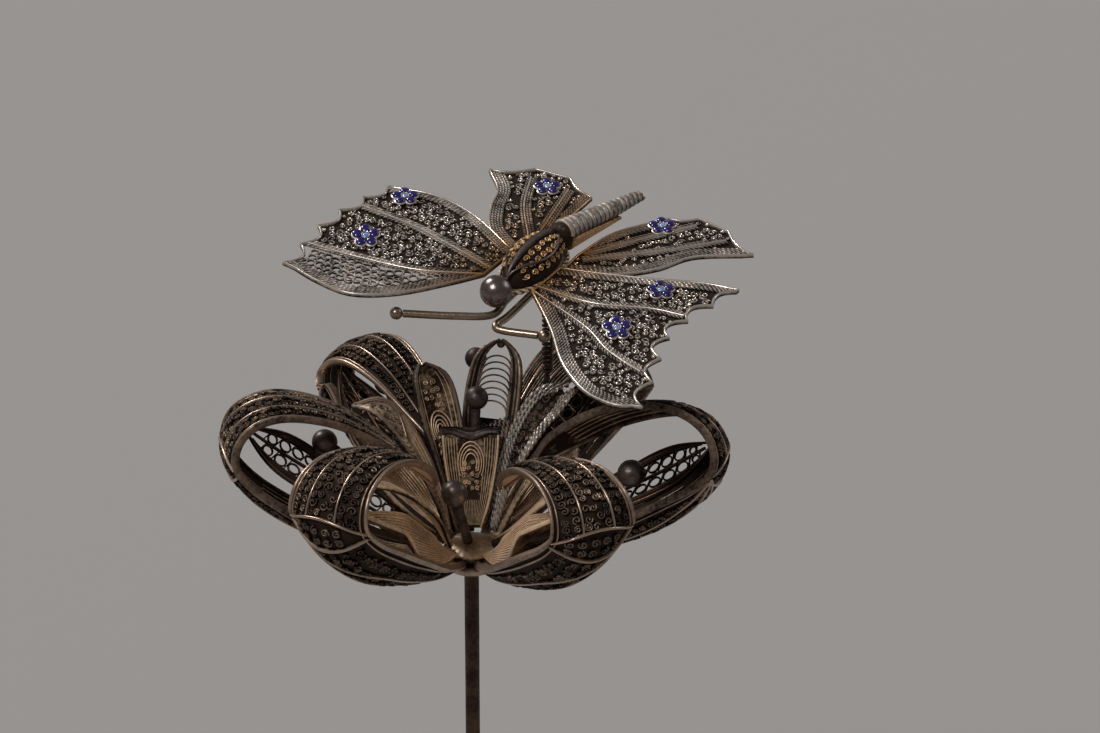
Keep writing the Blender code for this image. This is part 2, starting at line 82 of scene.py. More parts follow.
# azimuth, reach, height factor, cup factor, roll, twist of the free end, turn and shift of the outermost part
OUTER_PETALS = {
    "outer_petal_right": (-10.5, 0.99, 1.075, 0.8, -9, 75, 0, 0),
    "outer_petal_back_right": (57, 1.0, 0.98, 1.0, 0, 10, -20, -3.2),
    "outer_petal_back_left": (121, 0.99, 0.96, 1.0, 0, 12, 45, 3.1),
    "outer_petal_left": (187, 0.94, 1.05, 0.4, 10, 0, 0, 0),
    "outer_petal_front_left": (237, 0.98, 1.06, 1.0, 0, 0, 0, 0),
    "outer_petal_front_right": (299, 1.0, 1.02, 1.0, 0, 0, 0, 0),
}
GROOVED_PETALS = ("outer_petal_back_right",)
# Rim wear of each looped petal, with painted light in it: the rims of the petals that face the lamps get more wear and
# come out brighter, and every other rim takes the lower value below as painted shade.
RIM_WEAR_AND_PAINTED_LIGHT = {"outer_petal_front_left": 0.95, "outer_petal_back_left": 0.95, "outer_petal_front_right": 0.75}
RIM_WEAR_AND_PAINTED_SHADE = 0.48
LENS_PLACE = 0.52
LENS_HALF_HEIGHT = 1.7
LENS_CORNER = 0.9
# Along a petal: where its roll starts to fade and over how much of it, and where its turned part lies.
ROLL_HOLD = 0.35
ROLL_FADE = 0.3
SWAY_PLACE = 0.45
SWAY_REACH = 0.14

# Pierced liners inside the loops.
LINER_HALF_WIDTH = (0.5, 1.8, 2.9, 3.3, 3.2, 2.3, 0.4)
LINER_RISE = (2.75, 4.4, 6.3, 8.4, 10.5, 12.6, 14.9)
LINER_START = 3.1
LINER_END = 21.9
LINER_HOLE = 0.7
SMALLEST_RING = 0.22
# azimuth, reach, lift, roll, twist of the tip
LINERS = {
    "petal_liner_right": (-10, 1.06, -1.2, 12, 52),
    "petal_liner_back_right": (50, 1.0, 0.0, 0, 0),
    "petal_liner_back_left": (129, 0.95, 0.0, 0, 0),
    "petal_liner_left": (187, 0.96, 1.3, -28, -58),
}
LEAF_LINERS = {
    "petal_liner_front_left": (237, 1.0, 0.0, -50, 0),
    "petal_liner_front_right": (299, 1.0, 0.0, 50, 0),
}

# Upright inner petals: azimuth, (radius, height) path, half widths, cup, twist of the tip.
INNER_PETALS = {
    "inner_petal_broad": (91, ((1.3, 3.6), (1.8, 6.5), (2.5, 9.8), (3.2, 12.2), (3.9, 13.0)),
                          (0.9, 1.8, 2.3, 2.3, 2.1), 0.3, 0),
    "inner_petal_tall": (73.5, ((2.65, 3.0), (4.5, 8.0), (6.6, 13.6), (9.0, 18.2), (10.2, 20.0)),
                         (0.5, 2.0, 2.8, 2.4, 0.35), 0.3, 0),
    "inner_petal_cupped": (125, ((2.3, 3.2), (3.7, 8.4), (5.7, 13.6), (7.4, 17.0), (8.5, 18.6)),
                           (0.35, 1.5, 2.2, 2.0, 0.5), 0.9, 0),
    "inner_petal_curled": (163.5, ((2.2, 3.1), (3.9, 7.8), (6.6, 12.8), (9.3, 15.5), (11.9, 15.6)),
                           (0.4, 1.3, 2.0, 1.8, 0.3), 0.5, 0),
    "inner_petal_twist_edged": (30, ((2.4, 3.2), (4.0, 8.6), (6.4, 13.0), (8.8, 15.6), (11.2, 16.7)),
                                (0.4, 1.4, 2.1, 2.0, 0.3), 0.4, 35),
    "inner_petal_right": (9.5, ((2.6, 2.9), (4.6, 6.9), (6.9, 10.6), (8.8, 13.1), (10.6, 14.6)),
                          (0.4, 1.2, 1.7, 1.6, 0.3), 0.4, 0),
    "inner_petal_low": (214, ((2.5, 2.9), (4.4, 6.3), (6.8, 8.9), (9.2, 10.6), (11.6, 11.6)),
                        (0.5, 1.7, 2.3, 2.0, 0.3), 0.7, 0),
}

BROAD_FLARE = 0.24

# Gilded fans of wire beside the low petal: azimuths, (radius, height) path, half widths, cups.
FANS = {"fan_left": 163, "fan_right": 17}
FAN_PATH = ((2.2, 2.9), (4.4, 4.5), (6.8, 6.8), (9.2, 9.4), (10.8, 11.4))
FAN_HALF_WIDTH = (0.7, 2.5, 3.7, 3.5, 0.8)
FAN_CUP = (0.1, 0.7, 0.9, 0.8, 0.2)

# Stamens: foot, ball centre, wire radius, ball radius.
STAMENS = {
    "stamen_front": ((-0.3, -1.4, 3.5), (-1.5, -4.6, 9.9), 0.5, 1.3),
    "stamen_middle": ((-0.1, 2.1, 3.0), (0.5, 5.15, 15.7), 0.36, 1.15),
    "stamen_back": ((-0.7, 2.5, 3.0), (0.3, 13.2, 16.6), 0.42, 1.1),
    "stamen_left": ((-2.5, -0.4, 3.1), (-14.0, 0.4, 13.1), 0.45, 1.25),
    "stamen_right": ((2.2, -1.2, 3.0), (15.3, -4.9, 12.1), 0.45, 1.35),
    "stamen_back_left": ((-2.2, 1.4, 3.0), (-8.6, 14.2, 13.6), 0.42, 1.2),
}

GILDED_STAMENS = {"stamen_back_left": 0.9}

# The coil spring, its straight tail, and the wire that joins it to the butterfly's base plate.
SPRING_AXIS = (7.37, 7.04)
SPRING_END_TURN = 0.8
SPRING_LEVELS = {"spring_lower_coil": (17.6, 23.25), "spring_upper_coil": (23.25, 28.75)}
SPRING_GAP = 0.16
SPRING_RADIUS = 0.42
SPRING_WIRE = 0.15
SPRING_PITCH = 0.42
SPRING_PEG = 0.15
TAIL_WIRE = 0.3
PLATE_FOOT = 29.45
TAIL_PATH = ((1.75, 1.75, 3.0), (3.4, 3.4, 6.9), (5.3, 5.2, 11.6), (6.9, 6.7, 15.4), (7.37, 7.04, 17.35))

# The butterfly, in its own frame: forward to the head, left, up.
BUTTERFLY_CENTRE = (5.94, 4.5, 29.82)
BODY_AZIMUTH = 57.5
BODY_PITCH = 8.9
BODY_ROLL = -7.0
THORAX = (4.6, 2.3, 2.7)
BASE_HALF_LENGTH = 5.1
BASE_HALF_WIDTH = 2.3
BASE_THICKNESS = 0.4
BASE_LEVEL = -0.75
HEAD_RADIUS = 1.55
HEAD_CENTRE = (6.45, 0.0, 0.25)
ABDOMEN_START = (-5.2, 0.0, 0.75)
ABDOMEN_END = (-20.2, 0.0, -2.4)
ABDOMEN_RADII = (0.64, 0.24)
ABDOMEN_WIRES = (0.36, 0.18)
ABDOMEN_TURNS = 17
ABDOMEN_ROOT_RADII = (0.8, 1.1, 1.2, 1.1, 0.7)
TRAY_GAP = 0.3
TRAY_THICKNESS = 0.24
TRAY_SHARE = 0.66
TRAY_ARC = (-165.0, 0.0)
ANTENNA_WIRE = 0.38
ANTENNA_BALL = 0.62
ANTENNA_ROOT = 2.4
ANTENNAE = {
    "antenna_right": ((5.0, 0.2, -1.5), (7.3, 0.1, -1.9), (9.4, -2.7, -1.9), (11.9, -6.9, -1.8)),
    "antenna_left": ((4.4, 1.7, -1.5), (7.0, 1.6, -1.8), (8.6, 1.4, -1.9), (8.9, 2.3, -2.0), (7.9, 5.6, -1.9)),
}

# Wings as (forward, outward) edges; side is -1 for the right wings and 1 for the left ones.
WING_THICKNESS = 0.36
HINDWING_DROP = 0.45
WING_RIM = 0.24
WING_PITCH = 0.88
EDGE_ROPES = (0.42, 0.7, 0.98, 1.26)
RIB_ROPES = (0.28, -0.28, 0.56)
ROPE_SPACE = 0.22
# A wide strip on the left forewing's rib, raised and made fully bare: a painted highlight that stands for a glint
# along the rib.
PAINTED_GLINT_STRIP = ((9.4, 14.6), (10.1, 16.6), (10.6, 18.4))
WINGS = {
    "forewing_right": {
        "side": -1, "scallops": 5, "depth": 1.1, "open_beyond": ((11.4, -1.8), 5.8),
        "leading": ((4.4, 2.6), (7.7, 4.6), (11.8, 7.6), (14.3, 11.2), (14.2, 15.2), (13.2, 19.2)),
        "outer": ((13.2, 19.2), (4.0, 20.4), (-4.2, 19.2)),
        "trailing": ((-4.2, 19.2), (-5.3, 14.4), (-4.2, 9.2), (-0.8, 2.6)),
        "ribs": (((3.2, 2.3), (0.9, 12.3), (0.4, 19.7)), ((4.2, 2.4), (7.2, 8.3), (8.5, 14.6), (9.0, 19.7))),
    },
    "forewing_left": {
        "side": 1, "scallops": 6, "depth": 1.1, "open_beyond": ((0, 1), 30),
        "leading": ((4.4, 2.6), (8.9, 7.5), (13.2, 11.4), (16.1, 15.6), (16.6, 18.9), (15.6, 21.0)),
        "outer": ((15.6, 21.0), (9.6, 19.0), (4.2, 17.1), (-1.2, 17.3), (-6.8, 18.8)),
        "trailing": ((-6.8, 18.8), (-5.9, 15.2), (-3.4, 9.8), (-0.6, 2.6)),
        "ribs": (((3.4, 2.6), (3.0, 8.5), (0.8, 13.5), (0.1, 16.8)),
                 ((4.2, 2.6), (6.9, 10.2), (9.2, 14.1), (10.6, 19.3))),
    },
    "hindwing_right": {
        "side": -1, "scallops": 3, "depth": 0.5, "open_beyond": ((0, 1), 30),
        "leading": ((-0.6, 2.6), (-3.4, 7.0), (-7.1, 9.4), (-10.2, 10.6), (-12.8, 13.2)),
        "outer": ((-12.8, 13.2), (-16.2, 7.6), (-14.0, 1.9)),
        "trailing": ((-14.0, 1.9), (-9.0, 1.8), (-4.2, 2.4)),
        "ribs": (((-4.1, 3.0), (-9.1, 6.7), (-14.0, 9.0)), ((-5.1, 2.6), (-9.3, 3.6), (-14.0, 4.7))),
    },
    "hindwing_left": {
        "side": 1, "scallops": 3, "depth": 0.5, "open_beyond": ((0, 1), 30),
        "leading": ((-0.6, 2.6), (-3.2, 7.4), (-6.2, 10.2), (-10.0, 12.0), (-13.4, 16.4)),
        "outer": ((-13.4, 16.4), (-16.6, 10.4), (-14.8, 6.2)),
        "trailing": ((-14.8, 6.2), (-9.6, 3.2), (-4.2, 2.4)),
        "ribs": (((-3.6, 3.4), (-9.0, 8.6), (-14.4, 13.0)), ((-4.6, 3.0), (-9.8, 6.0), (-15.2, 9.2))),
    },
}

# Enamel flowers: wing, forward, outward. The leans are the slopes of the front ones and of the others.
ENAMEL_RADIUS = 1.42
ENAMEL_THICKNESS = 0.3
ENAMEL_LEANS = (0.28, 0.06)
ENAMEL_FLOWERS = {
    "enamel_flower_forewing_right_front": ("forewing_right", 5.6, 15.4),
    "enamel_flower_forewing_right_rear": ("forewing_right", -3.0, 16.6),
    "enamel_flower_forewing_left_front": ("forewing_left", 6.1, 13.1),
    "enamel_flower_forewing_left_rear": ("forewing_left", -2.2, 12.9),
    "enamel_flower_hindwing_right": ("hindwing_right", -13.0, 6.5),
    "enamel_flower_hindwing_left": ("hindwing_left", -12.9, 6.7),
}

# The studio, in metres: lamps as place, softness and strength.
LIGHTS = {"key": ((-0.45, 0.42, 0.6), 14, 1.75), "front": ((-0.3, -0.42, 0.6), 12, 1.4),
          "side": ((0.6, 0.25, 0.35), 25, 0.35)}
FLOOR_REACH = 4.0
FLOOR_GAP = 0.0005
FLOOR_COLOUR = (0.306, 0.292, 0.283, 1.0)
AIR_COLOUR = (0.98, 0.95, 0.94, 1.0)
AIR_STRENGTH = 0.17
CREASE_ANGLE = 50
# The rounded top of an enamel petal or solder ball: (share of the radius, share of the height).
BUTTON_PROFILE = ((1.0, 0.0), (1.0, 0.35), (0.86, 0.68), (0.55, 0.92), (0.08, 1.0))

random = np.random.RandomState(7)


def any_turn():
    return random.uniform(0, 6.28)


# ---------------------------------------------------------------- curves

def smooth(points, position):
    """The point at position 0 to 1 on a Catmull-Rom curve through the points."""
    points = np.asarray(points, float)
    if points.ndim == 1:
        points = points[:, None]
    spans = len(points) - 1
    place = min(max(position, 0.0), 1.0) * spans
    index = min(int(place), spans - 1)
    part = place - index
    before = points[index - 1] if index > 0 else 2 * points[0] - points[1]
    after = points[index + 2] if index + 2 <= spans else 2 * points[-1] - points[-2]
    start = points[index]
    end = points[index + 1]
    value = 0.5 * (2 * start + (end - before) * part
                   + (2 * before - 5 * start + 4 * end - after) * part ** 2
                   + (3 * start - before - 3 * end + after) * part ** 3)
    return value if len(value) > 1 else float(value[0])


def curve(points, count=60):
    """A smooth curve through the points, as count points."""
    return np.array([smooth(points, index / (count - 1)) for index in range(count)])


def evenly(path, step):
    """The same path with its points a step apart."""
    path = np.asarray(path, float)
    lengths = np.concatenate([[0.0], np.cumsum(np.linalg.norm(np.diff(path, axis=0), axis=1))])
    count = max(int(round(lengths[-1] / step)), 2) + 1
    places = np.linspace(0.0, lengths[-1], count)
    return np.stack([np.interp(places, lengths, path[:, axis]) for axis in range(path.shape[1])], axis=1)


def sideways(path, closed=False):
    """Unit vectors to the left of a flat path at each point."""
    if closed:
        ahead = np.roll(path, -1, axis=0) - np.roll(path, 1, axis=0)
    else:
        ahead = np.gradient(path, axis=0)
    ahead /= np.linalg.norm(ahead, axis=1, keepdims=True) + 1e-12
    return np.stack([-ahead[:, 1], ahead[:, 0]], axis=1)


def beside(path, distance):
    """A flat path moved to its left by a distance."""
    return path + sideways(path) * distance


def within(points, outline):
    """Which points lie inside a closed flat outline."""
    starts = outline
    ends = np.roll(outline, -1, axis=0)
    x, y = points[:, 0:1], points[:, 1:2]
    straddles = (starts[:, 1] > y) != (ends[:, 1] > y)
    rise = ends[:, 1] - starts[:, 1]
    rise = np.where(np.abs(rise) < 1e-9, 1e-9, rise)
    crossing = x < (ends[:, 0] - starts[:, 0]) * (y - starts[:, 1]) / rise + starts[:, 0]
    return (straddles & crossing).sum(axis=1) % 2 == 1


def nearest(points, path, closed=False):
    """The distance from each point to a path."""
    starts = path if closed else path[:-1]
    ends = np.roll(path, -1, axis=0) if closed else path[1:]
    along = ends - starts
    square = (along ** 2).sum(axis=1) + 1e-12
    offset = points[:, None] - starts[None]
    share = np.clip((offset * along).sum(axis=2) / square, 0.0, 1.0)
    gap = offset - share[:, :, None] * along
    return np.sqrt((gap ** 2).sum(axis=2)).min(axis=1)


def runs(mask, least=5):
    """The unbroken stretches of a mask, as slices."""
    edges = np.flatnonzero(np.diff(np.concatenate([[0], mask.astype(int), [0]])))
    return [slice(start, end) for start, end in edges.reshape(-1, 2) if end - start >= least]


# ---------------------------------------------------------------- surfaces

def leaf_surface(azimuth, path, half_widths, cups, roll=0.0, twist=0.0, sway=0.0, lean=0.0):
    """A petal's sheet, from (across, along) in mm and a height on its inner side to a point.

    The petal stands on the hub at an azimuth. Its roll fades past its middle, it twists to its free end, and its
    middle is turned by a sway and shifted sideways by a lean.
    """
    stations = 161
    outward = np.array([math.cos(math.radians(azimuth)), math.sin(math.radians(azimuth)), 0.0])
    across = np.array([-outward[1], outward[0], 0.0])
    up = np.array([0.0, 0.0, 1.0])
    centres, sides, faces, widths, depths = [], [], [], [], []
    for index in range(stations):
        along = index / (stations - 1)
        radius, height = smooth(path, along)
        ahead = smooth(path, along + 0.01) - smooth(path, along - 0.01)
        ahead /= np.linalg.norm(ahead)
        inward = -outward * ahead[1] + up * ahead[0]
        fade = 1.0 - min(max((along - ROLL_HOLD) / ROLL_FADE, 0.0), 1.0)
        middle = math.exp(-((along - SWAY_PLACE) / SWAY_REACH) ** 2)
        turn = math.radians(roll * fade * min(along * 8.0, 1.0) + twist * along ** 3 + sway * middle)
        centres.append(outward * radius + up * height + across * lean * middle)
        sides.append(across * math.cos(turn) + inward * math.sin(turn))
        faces.append(inward * math.cos(turn) - across * math.sin(turn))
        widths.append(smooth(half_widths, along))
        depths.append(smooth(cups, along))
    table = np.hstack([centres, sides, faces, np.array([widths, depths]).T])
    lengths = np.linalg.norm(np.diff(table[:, 0:3], axis=0), axis=1)
    places = np.concatenate([[0.0], np.cumsum(lengths)])

    def surface(points, height=0.0):
        found = np.stack([np.interp(points[:, 1], places, column) for column in table.T], axis=1)
        side, face, width, depth = found[:, 3:6], found[:, 6:9], found[:, 9:10], found[:, 10:11]
        share = points[:, 0:1] / width
        normal = face - side * (2 * depth * share / width)
        normal /= np.linalg.norm(normal, axis=1, keepdims=True)
        lift = np.broadcast_to(np.asarray(height, float).reshape(-1, 1), (len(points), 1))
        return found[:, 0:3] + side * points[:, 0:1] + face * depth * share ** 2 + normal * lift

    surface.length = places[-1]
    surface.half_width = lambda along: np.interp(along, places, table[:, 9])
    return surface


def body_matrix():
    """The butterfly's frame: X forwards to the head, Y to its left wings, Z up."""
    turn = (Matrix.Rotation(math.radians(BODY_AZIMUTH + 180.0), 4, "Z")
            @ Matrix.Rotation(math.radians(BODY_PITCH), 4, "Y")
            @ Matrix.Rotation(math.radians(BODY_ROLL), 4, "X"))
    return np.array(Matrix.Translation(Vector(BUTTERFLY_CENTRE)) @ turn)


BODY_FRAME = body_matrix()


def on_body(points):
    """Points of the butterfly's frame carried into the pin's frame."""
    return np.asarray(points, float) @ BODY_FRAME[:3, :3].T + BODY_FRAME[:3, 3]


def wing_surface(side, level):
    """A wing's flat sheet at a level of the butterfly's frame, from (forward, outward) to a point."""
    def surface(points, height=0.0):
        lift = np.broadcast_to(np.asarray(height, float).reshape(-1), (len(points),))
        return on_body(np.stack([points[:, 0], points[:, 1] * side, level + lift], axis=1))
    return surface


def dome_surface(points, height=0.0):
    """The thorax dome, from (forward, arc over the top) in mm to a point."""
    length, width, tall = THORAX
    angle = points[:, 1] / ((width + tall) / 2)
    girth = np.sqrt(np.maximum(1.0 - (points[:, 0] / length) ** 2, 0.02))
    place = np.stack([points[:, 0], width * girth * np.sin(angle), tall * girth * np.cos(angle)], axis=1)
    normal = place / np.array([length, width, tall]) ** 2
    normal /= np.linalg.norm(normal, axis=1, keepdims=True)
    lift = np.broadcast_to(np.asarray(height, float).reshape(-1, 1), (len(points), 1))
    return on_body(place + normal * lift)


# ---------------------------------------------------------------- wire and sheet

class Work:
    """Gathers closed bodies of wire and sheet. Each point has a wear, from 0 in a crevice to 1 on a rubbed edge."""

    def __init__(self):
        self.points, self.faces, self.wear, self.polygons = [], [], [], []
        self.count = 0

    def keep(self, points, wear):
        first = self.count
        self.points.append(points)
        self.wear.append(wear)
        self.count += len(points)
        return first

    def add_rings(self, rings, wear, closed=False):
        """A body through rings of points, with its two ends capped unless it closes on itself."""
        stations, sides = rings.shape[:2]
        points = rings.reshape(-1, 3)
        index = np.arange(stations * sides).reshape(stations, sides)
        loop = np.vstack([index, index[:1]]) if closed else index
        beside_loop = np.roll(loop, -1, axis=1)
        quads = [np.stack([loop[:-1], beside_loop[:-1], beside_loop[1:], loop[1:]], axis=-1).reshape(-1, 4)]
        if not closed:
            for cap in (index[0][::-1], index[-1]):
                quads.extend(cap[[[0, step, step + 1, step + 2]]] for step in range(1, sides - 2, 2))
        quads = np.concatenate(quads)
        corners = (points - points.mean(axis=0))[quads]
        normals = np.cross(corners[:, 2] - corners[:, 0], corners[:, 3] - corners[:, 1])
        if (corners.mean(axis=1) * normals).sum() < 0:
            quads = quads[:, ::-1]
        level = np.broadcast_to(np.asarray(wear, float), (stations, sides)).reshape(-1)
        self.faces.append(quads + self.keep(points, level))

    def add_plate(self, low, high, low_wear, high_wear):
        """A flat plate between two outlines of as many points."""
        count = len(low)
        area = np.cross(np.roll(high, -1, axis=0) - high[0], high - high[0]).sum(axis=0)
        if (area * (high[0] - low[0])).sum() > 0:
            low, high = low[::-1], high[::-1]
        first = self.keep(np.vstack([low, high]), np.repeat([low_wear, high_wear], count))
        index = np.arange(count)
        following = (index + 1) % count
        self.faces.append(np.stack([index, following, following + count, index + count], axis=1) + first)
        self.polygons.append((index[::-1] + first).tolist())
        self.polygons.append((index + count + first).tolist())


def sweep(work, surface, path, offsets, heights, wear, closed=False):
    """Carries a section along a pattern path: each side of the section has an offset, a height and a wear."""
    path = np.asarray(path, float)
    left = sideways(path, closed)
    offsets = np.broadcast_to(np.asarray(offsets, float), (len(path), np.shape(offsets)[-1]))
    heights = np.broadcast_to(np.asarray(heights, float), offsets.shape)
    rings = [surface(path + left * offsets[:, k:k + 1], heights[:, k]) for k in range(offsets.shape[1])]
    work.add_rings(np.stack(rings, axis=1), wear, closed)


def strip(work, surface, path, width, low, high, closed=False, shine=1.0):
    """A flat wire on edge, from a low to a high height, with its top edges worn round."""
    half = width / 2
    shoulder = high - (high - low) * min(0.4, 0.3 * width / abs(high - low))
    sweep(work, surface, path, (-half, half, half, half * 0.45, -half * 0.45, -half),
          (low, low, shoulder, high, high, shoulder),
          (0.0, 0.0, 0.75 * shine, shine, shine, 0.75 * shine), closed)


def rail(work, surface, path, width, low, high, shine=1.0):
    """A flat rim wire on edge whose flanks are worn too."""
    half = width / 2
    ease = 0.25 * width
    sweep(work, surface, path, (-half, -half * 0.5, half * 0.5, half, half, half * 0.5, -half * 0.5, -half),
          (low + ease, low, low, low + ease, high - ease, high, high, high - ease), shine * 0.85)


def circle(sides):
    return np.arange(sides) * 2 * math.pi / sides


def rope(work, surface, path, radius, height, shine=0.9):
    """Two wires twisted together."""
    path = evenly(path, radius * 3.4 / 5)
    places = np.arange(len(path)) / 5.0
    angles = circle(8)
    lobes = 1.0 + 0.26 * np.cos(2 * angles[None] - 2 * math.pi * places[:, None])
    sweep(work, surface, path, radius * lobes * np.cos(angles), height + radius * lobes * np.sin(angles),
          shine * (0.15 + 0.85 * (lobes - 0.74) / 0.52))


def round_wire(work, surface, path, radius, height, shine):
    """A plain round wire lying on a sheet."""
    angles = circle(8)
    sweep(work, surface, path, radius * np.cos(angles), height + radius * np.sin(angles),
          shine * (0.5 + 0.5 * np.sin(angles)))


def peaked(work, surface, path, width, low, high, slope, shine, side_shine, closed=False):
    """A flat wire on edge whose top is filed to a ridge."""
    half = width / 2
    ease = high - slope * width
    sweep(work, surface, path, (-half, half, half, 0.0, -half), (low, low, ease, high, ease),
          (0.0, 0.0, shine * side_shine, shine, shine * side_shine), closed)


def scroll(work, surface, centre, radius, start, turns, hand, width, low, high, shine=1.0):
    """A wire wound into a flat spiral, standing on edge."""
    count = max(int(turns * 9), 6) + 1
    share = np.linspace(0.0, 1.0, count)
    angle = start + hand * 2 * math.pi * turns * share
    reach = (radius - width / 2) * (1.0 - 0.84 * share ** 0.85)
    path = np.stack([centre[0] + reach * np.cos(angle), centre[1] + reach * np.sin(angle)], axis=1)
    peaked(work, surface, path, width, low, high, 0.45, shine, 0.6)


def ring(work, surface, centre, radius, width, low, high, shine=1.0, sides=12):
    """A closed round of flat wire on edge."""
    angles = circle(sides)
    path = np.stack([centre[0] + radius * np.cos(angles), centre[1] + radius * np.sin(angles)], axis=1)
    peaked(work, surface, path, width, low, high, 0.4, shine, 0.7, True)


def button(work, surface, centre, radius, low, rise, wear=0.6, sides=12, stretch=(1.0, 1.0), turn=0.0):
    """A low dome on a sheet."""
    angles = circle(sides)
    outline = np.stack([np.cos(angles) * stretch[0], np.sin(angles) * stretch[1]], axis=1) * radius
    outline = outline @ np.array([[math.cos(turn), math.sin(turn)], [-math.sin(turn), math.cos(turn)]])
    rings = [surface(np.asarray(centre) + outline * reach, low + rise * up) for reach, up in BUTTON_PROFILE]
    work.add_rings(np.stack(rings), wear)


def sheet(work, surface, left, right, start, end, low, high, low_wear, high_wear, rows=40, columns=7):
    """A thin sheet between two edges given as functions of the distance along."""
    shares = np.linspace(0.0, 1.0, columns)
    rings = []
    for place in np.linspace(start, end, rows):
        across = left(place) + (right(place) - left(place)) * shares
        line = np.stack([across, np.full(columns, place)], axis=1)
        rings.append(np.vstack([surface(line, high), surface(line[::-1], low)]))
    work.add_rings(np.stack(rings), np.repeat([high_wear, low_wear], columns))


def fill_panel(work, surface, left, right, start, end, size, width, low, high, shine=1.0):
    """Rows of scrolls between two edges given as functions of the distance along, no two of them alike."""
    place = start + size / 2
    row = 0
    while place < end - size * 0.4:
        room = right(place) - left(place)
        count = int(room / size + 0.4) if room > size * 0.45 else 0
        for index in range(count):
            spacing = room / count
            radius = min(spacing, size) * random.uniform(0.42, 0.56)
            stagger = 0.25 * (row % 2 * 2 - 1) if 1 < count and 0 < index < count - 1 else 0.0
            centre = (left(place) + spacing * (index + 0.5 + stagger + random.uniform(-0.08, 0.08)),
                      place + random.uniform(-0.16, 0.16) * size)
            hand = random.choice((-1, 1))
            lift = random.uniform(0.0, 0.3) * (high - low)
            scroll(work, surface, centre, radius, random.uniform(0, 2 * math.pi), random.uniform(1.1, 1.7), hand,
                   width, low, high - lift, shine * random.uniform(0.5, 1.0))
        place += size * 0.88
        row += 1


def turned(work, profile, place, sides, wear, flutes=0, flute_depth=0.0):
    """A turned body: a profile of (radius, height) pairs, placed by a function from points to points."""
    angles = circle(sides)
    ripple = 1.0 + flute_depth * np.cos(flutes * angles)
    rings = [place(np.stack([np.cos(angles) * radius * ripple, np.sin(angles) * radius * ripple,
                             np.full(sides, height)], axis=1)) for radius, height in profile]
    work.add_rings(np.stack(rings), np.reshape(wear, (-1, 1)))


def tube(work, path, radii, sides, wear):
    """A round wire along a path in space."""
    path = np.asarray(path, float)
    radii = np.broadcast_to(np.asarray(radii, float), (len(path),))
    ahead = np.gradient(path, axis=0)
    ahead /= np.linalg.norm(ahead, axis=1, keepdims=True)
    side = np.cross(ahead[0], (0.3, 0.5, 0.8))
    angles = circle(sides)[:, None]
    rings = []
    for point, direction, radius in zip(path, ahead, radii):
        side = side - direction * (side @ direction)
        side = side / np.linalg.norm(side)
        rings.append(point + (np.cos(angles) * side + np.sin(angles) * np.cross(direction, side)) * radius)
    work.add_rings(np.stack(rings), wear)


# ---------------------------------------------------------------- materials

class Graph:
    """Builds a material's nodes."""

    def __init__(self, name):
        self.material = bpy.data.materials.new(name)
        self.material.use_nodes = True
        self.tree = self.material.node_tree
        self.surface = self.tree.nodes["Principled BSDF"]
        self.place = self.add("ShaderNodeTexCoord").outputs["Object"]

    def add(self, kind, inputs=None, **settings):
        node = self.tree.nodes.new(kind)
        for key, value in settings.items():
            setattr(node, key, value)
        for key, value in (inputs or {}).items():
            self.set(node.inputs[key], value)
        return node

    def set(self, socket, value):
        if isinstance(value, bpy.types.NodeSocket):
            self.tree.links.new(value, socket)
        else:
            socket.default_value = value

    def set_surface(self, values):
        for key, value in values.items():
            self.set(self.surface.inputs[key], value)

    def noise(self, scale, detail):
        node = self.add("ShaderNodeTexNoise", {"Vector": self.place, "Scale": scale, "Detail": detail})
        return node.outputs["Fac"]

    def bump(self, strength, distance, height):
        node = self.add("ShaderNodeBump", {"Strength": strength, "Distance": distance, "Height": height})
        return node.outputs["Normal"]

    def spread(self, value, low, high, new_low, new_high):
        node = self.add("ShaderNodeMapRange", {"Value": value, "From Min": low, "From Max": high,
                                               "To Min": new_low, "To Max": new_high})
        return node.outputs["Result"]

    def sum(self, first, second):
        return self.add("ShaderNodeMath", {0: first, 1: second}, operation="ADD").outputs[0]

    def blend(self, share, first, second):
        node = self.add("ShaderNodeMix", data_type="RGBA")
        self.set(node.inputs[0], share)
        self.set(node.inputs[6], (*first, 1.0) if isinstance(first, tuple) else first)
        self.set(node.inputs[7], (*second, 1.0) if isinstance(second, tuple) else second)
        return node.outputs[2]


def aged_metal(name, patina, bare, warm, rough=(0.62, 0.34), metal=(0.55, 1.0), bump=0.25):
    """Metal with a dark patina in its crevices, bare on worn edges, and warm where it is gilded."""
    graph = Graph(name)
    wear = graph.add("ShaderNodeAttribute", attribute_name="wear").outputs["Fac"]
    gild = graph.add("ShaderNodeAttribute", attribute_name="gild").outputs["Fac"]
    cloud = graph.noise(420.0, 3.0)
    grain = graph.noise(2600.0, 4.0)
    mottle = graph.sum(graph.spread(cloud, 0.3, 0.7, -0.18, 0.18), graph.spread(grain, 0.3, 0.7, -0.14, 0.14))
    bareness = graph.spread(graph.sum(wear, mottle), 0.16, 0.94, 0.0, 1.0)
    tone = graph.blend(graph.sum(gild, graph.spread(cloud, 0.4, 0.8, 0.0, 0.15)), bare, warm)
    graph.set_surface({"Base Color": graph.blend(bareness, patina, tone),
                       "Metallic": graph.spread(bareness, 0.0, 1.0, *metal),
                       "Roughness": graph.spread(bareness, 0.0, 1.0, *rough),
                       "Specular IOR Level": 0.2, "Normal": graph.bump(bump, 0.00006, grain)})
    return graph.material


def enamel(name, deep, light):
    """Glossy glass enamel with a slight cloudiness."""
    graph = Graph(name)
    cloud = graph.noise(1800.0, 2.0)
    graph.set_surface({"Base Color": graph.blend(graph.spread(cloud, 0.35, 0.7, 0.0, 1.0), deep, light),
                       "Roughness": graph.spread(cloud, 0.3, 0.7, 0.12, 0.3), "Coat Weight": 0.6,
                       "Normal": graph.bump(0.15, 0.00005, cloud)})
    return graph.material


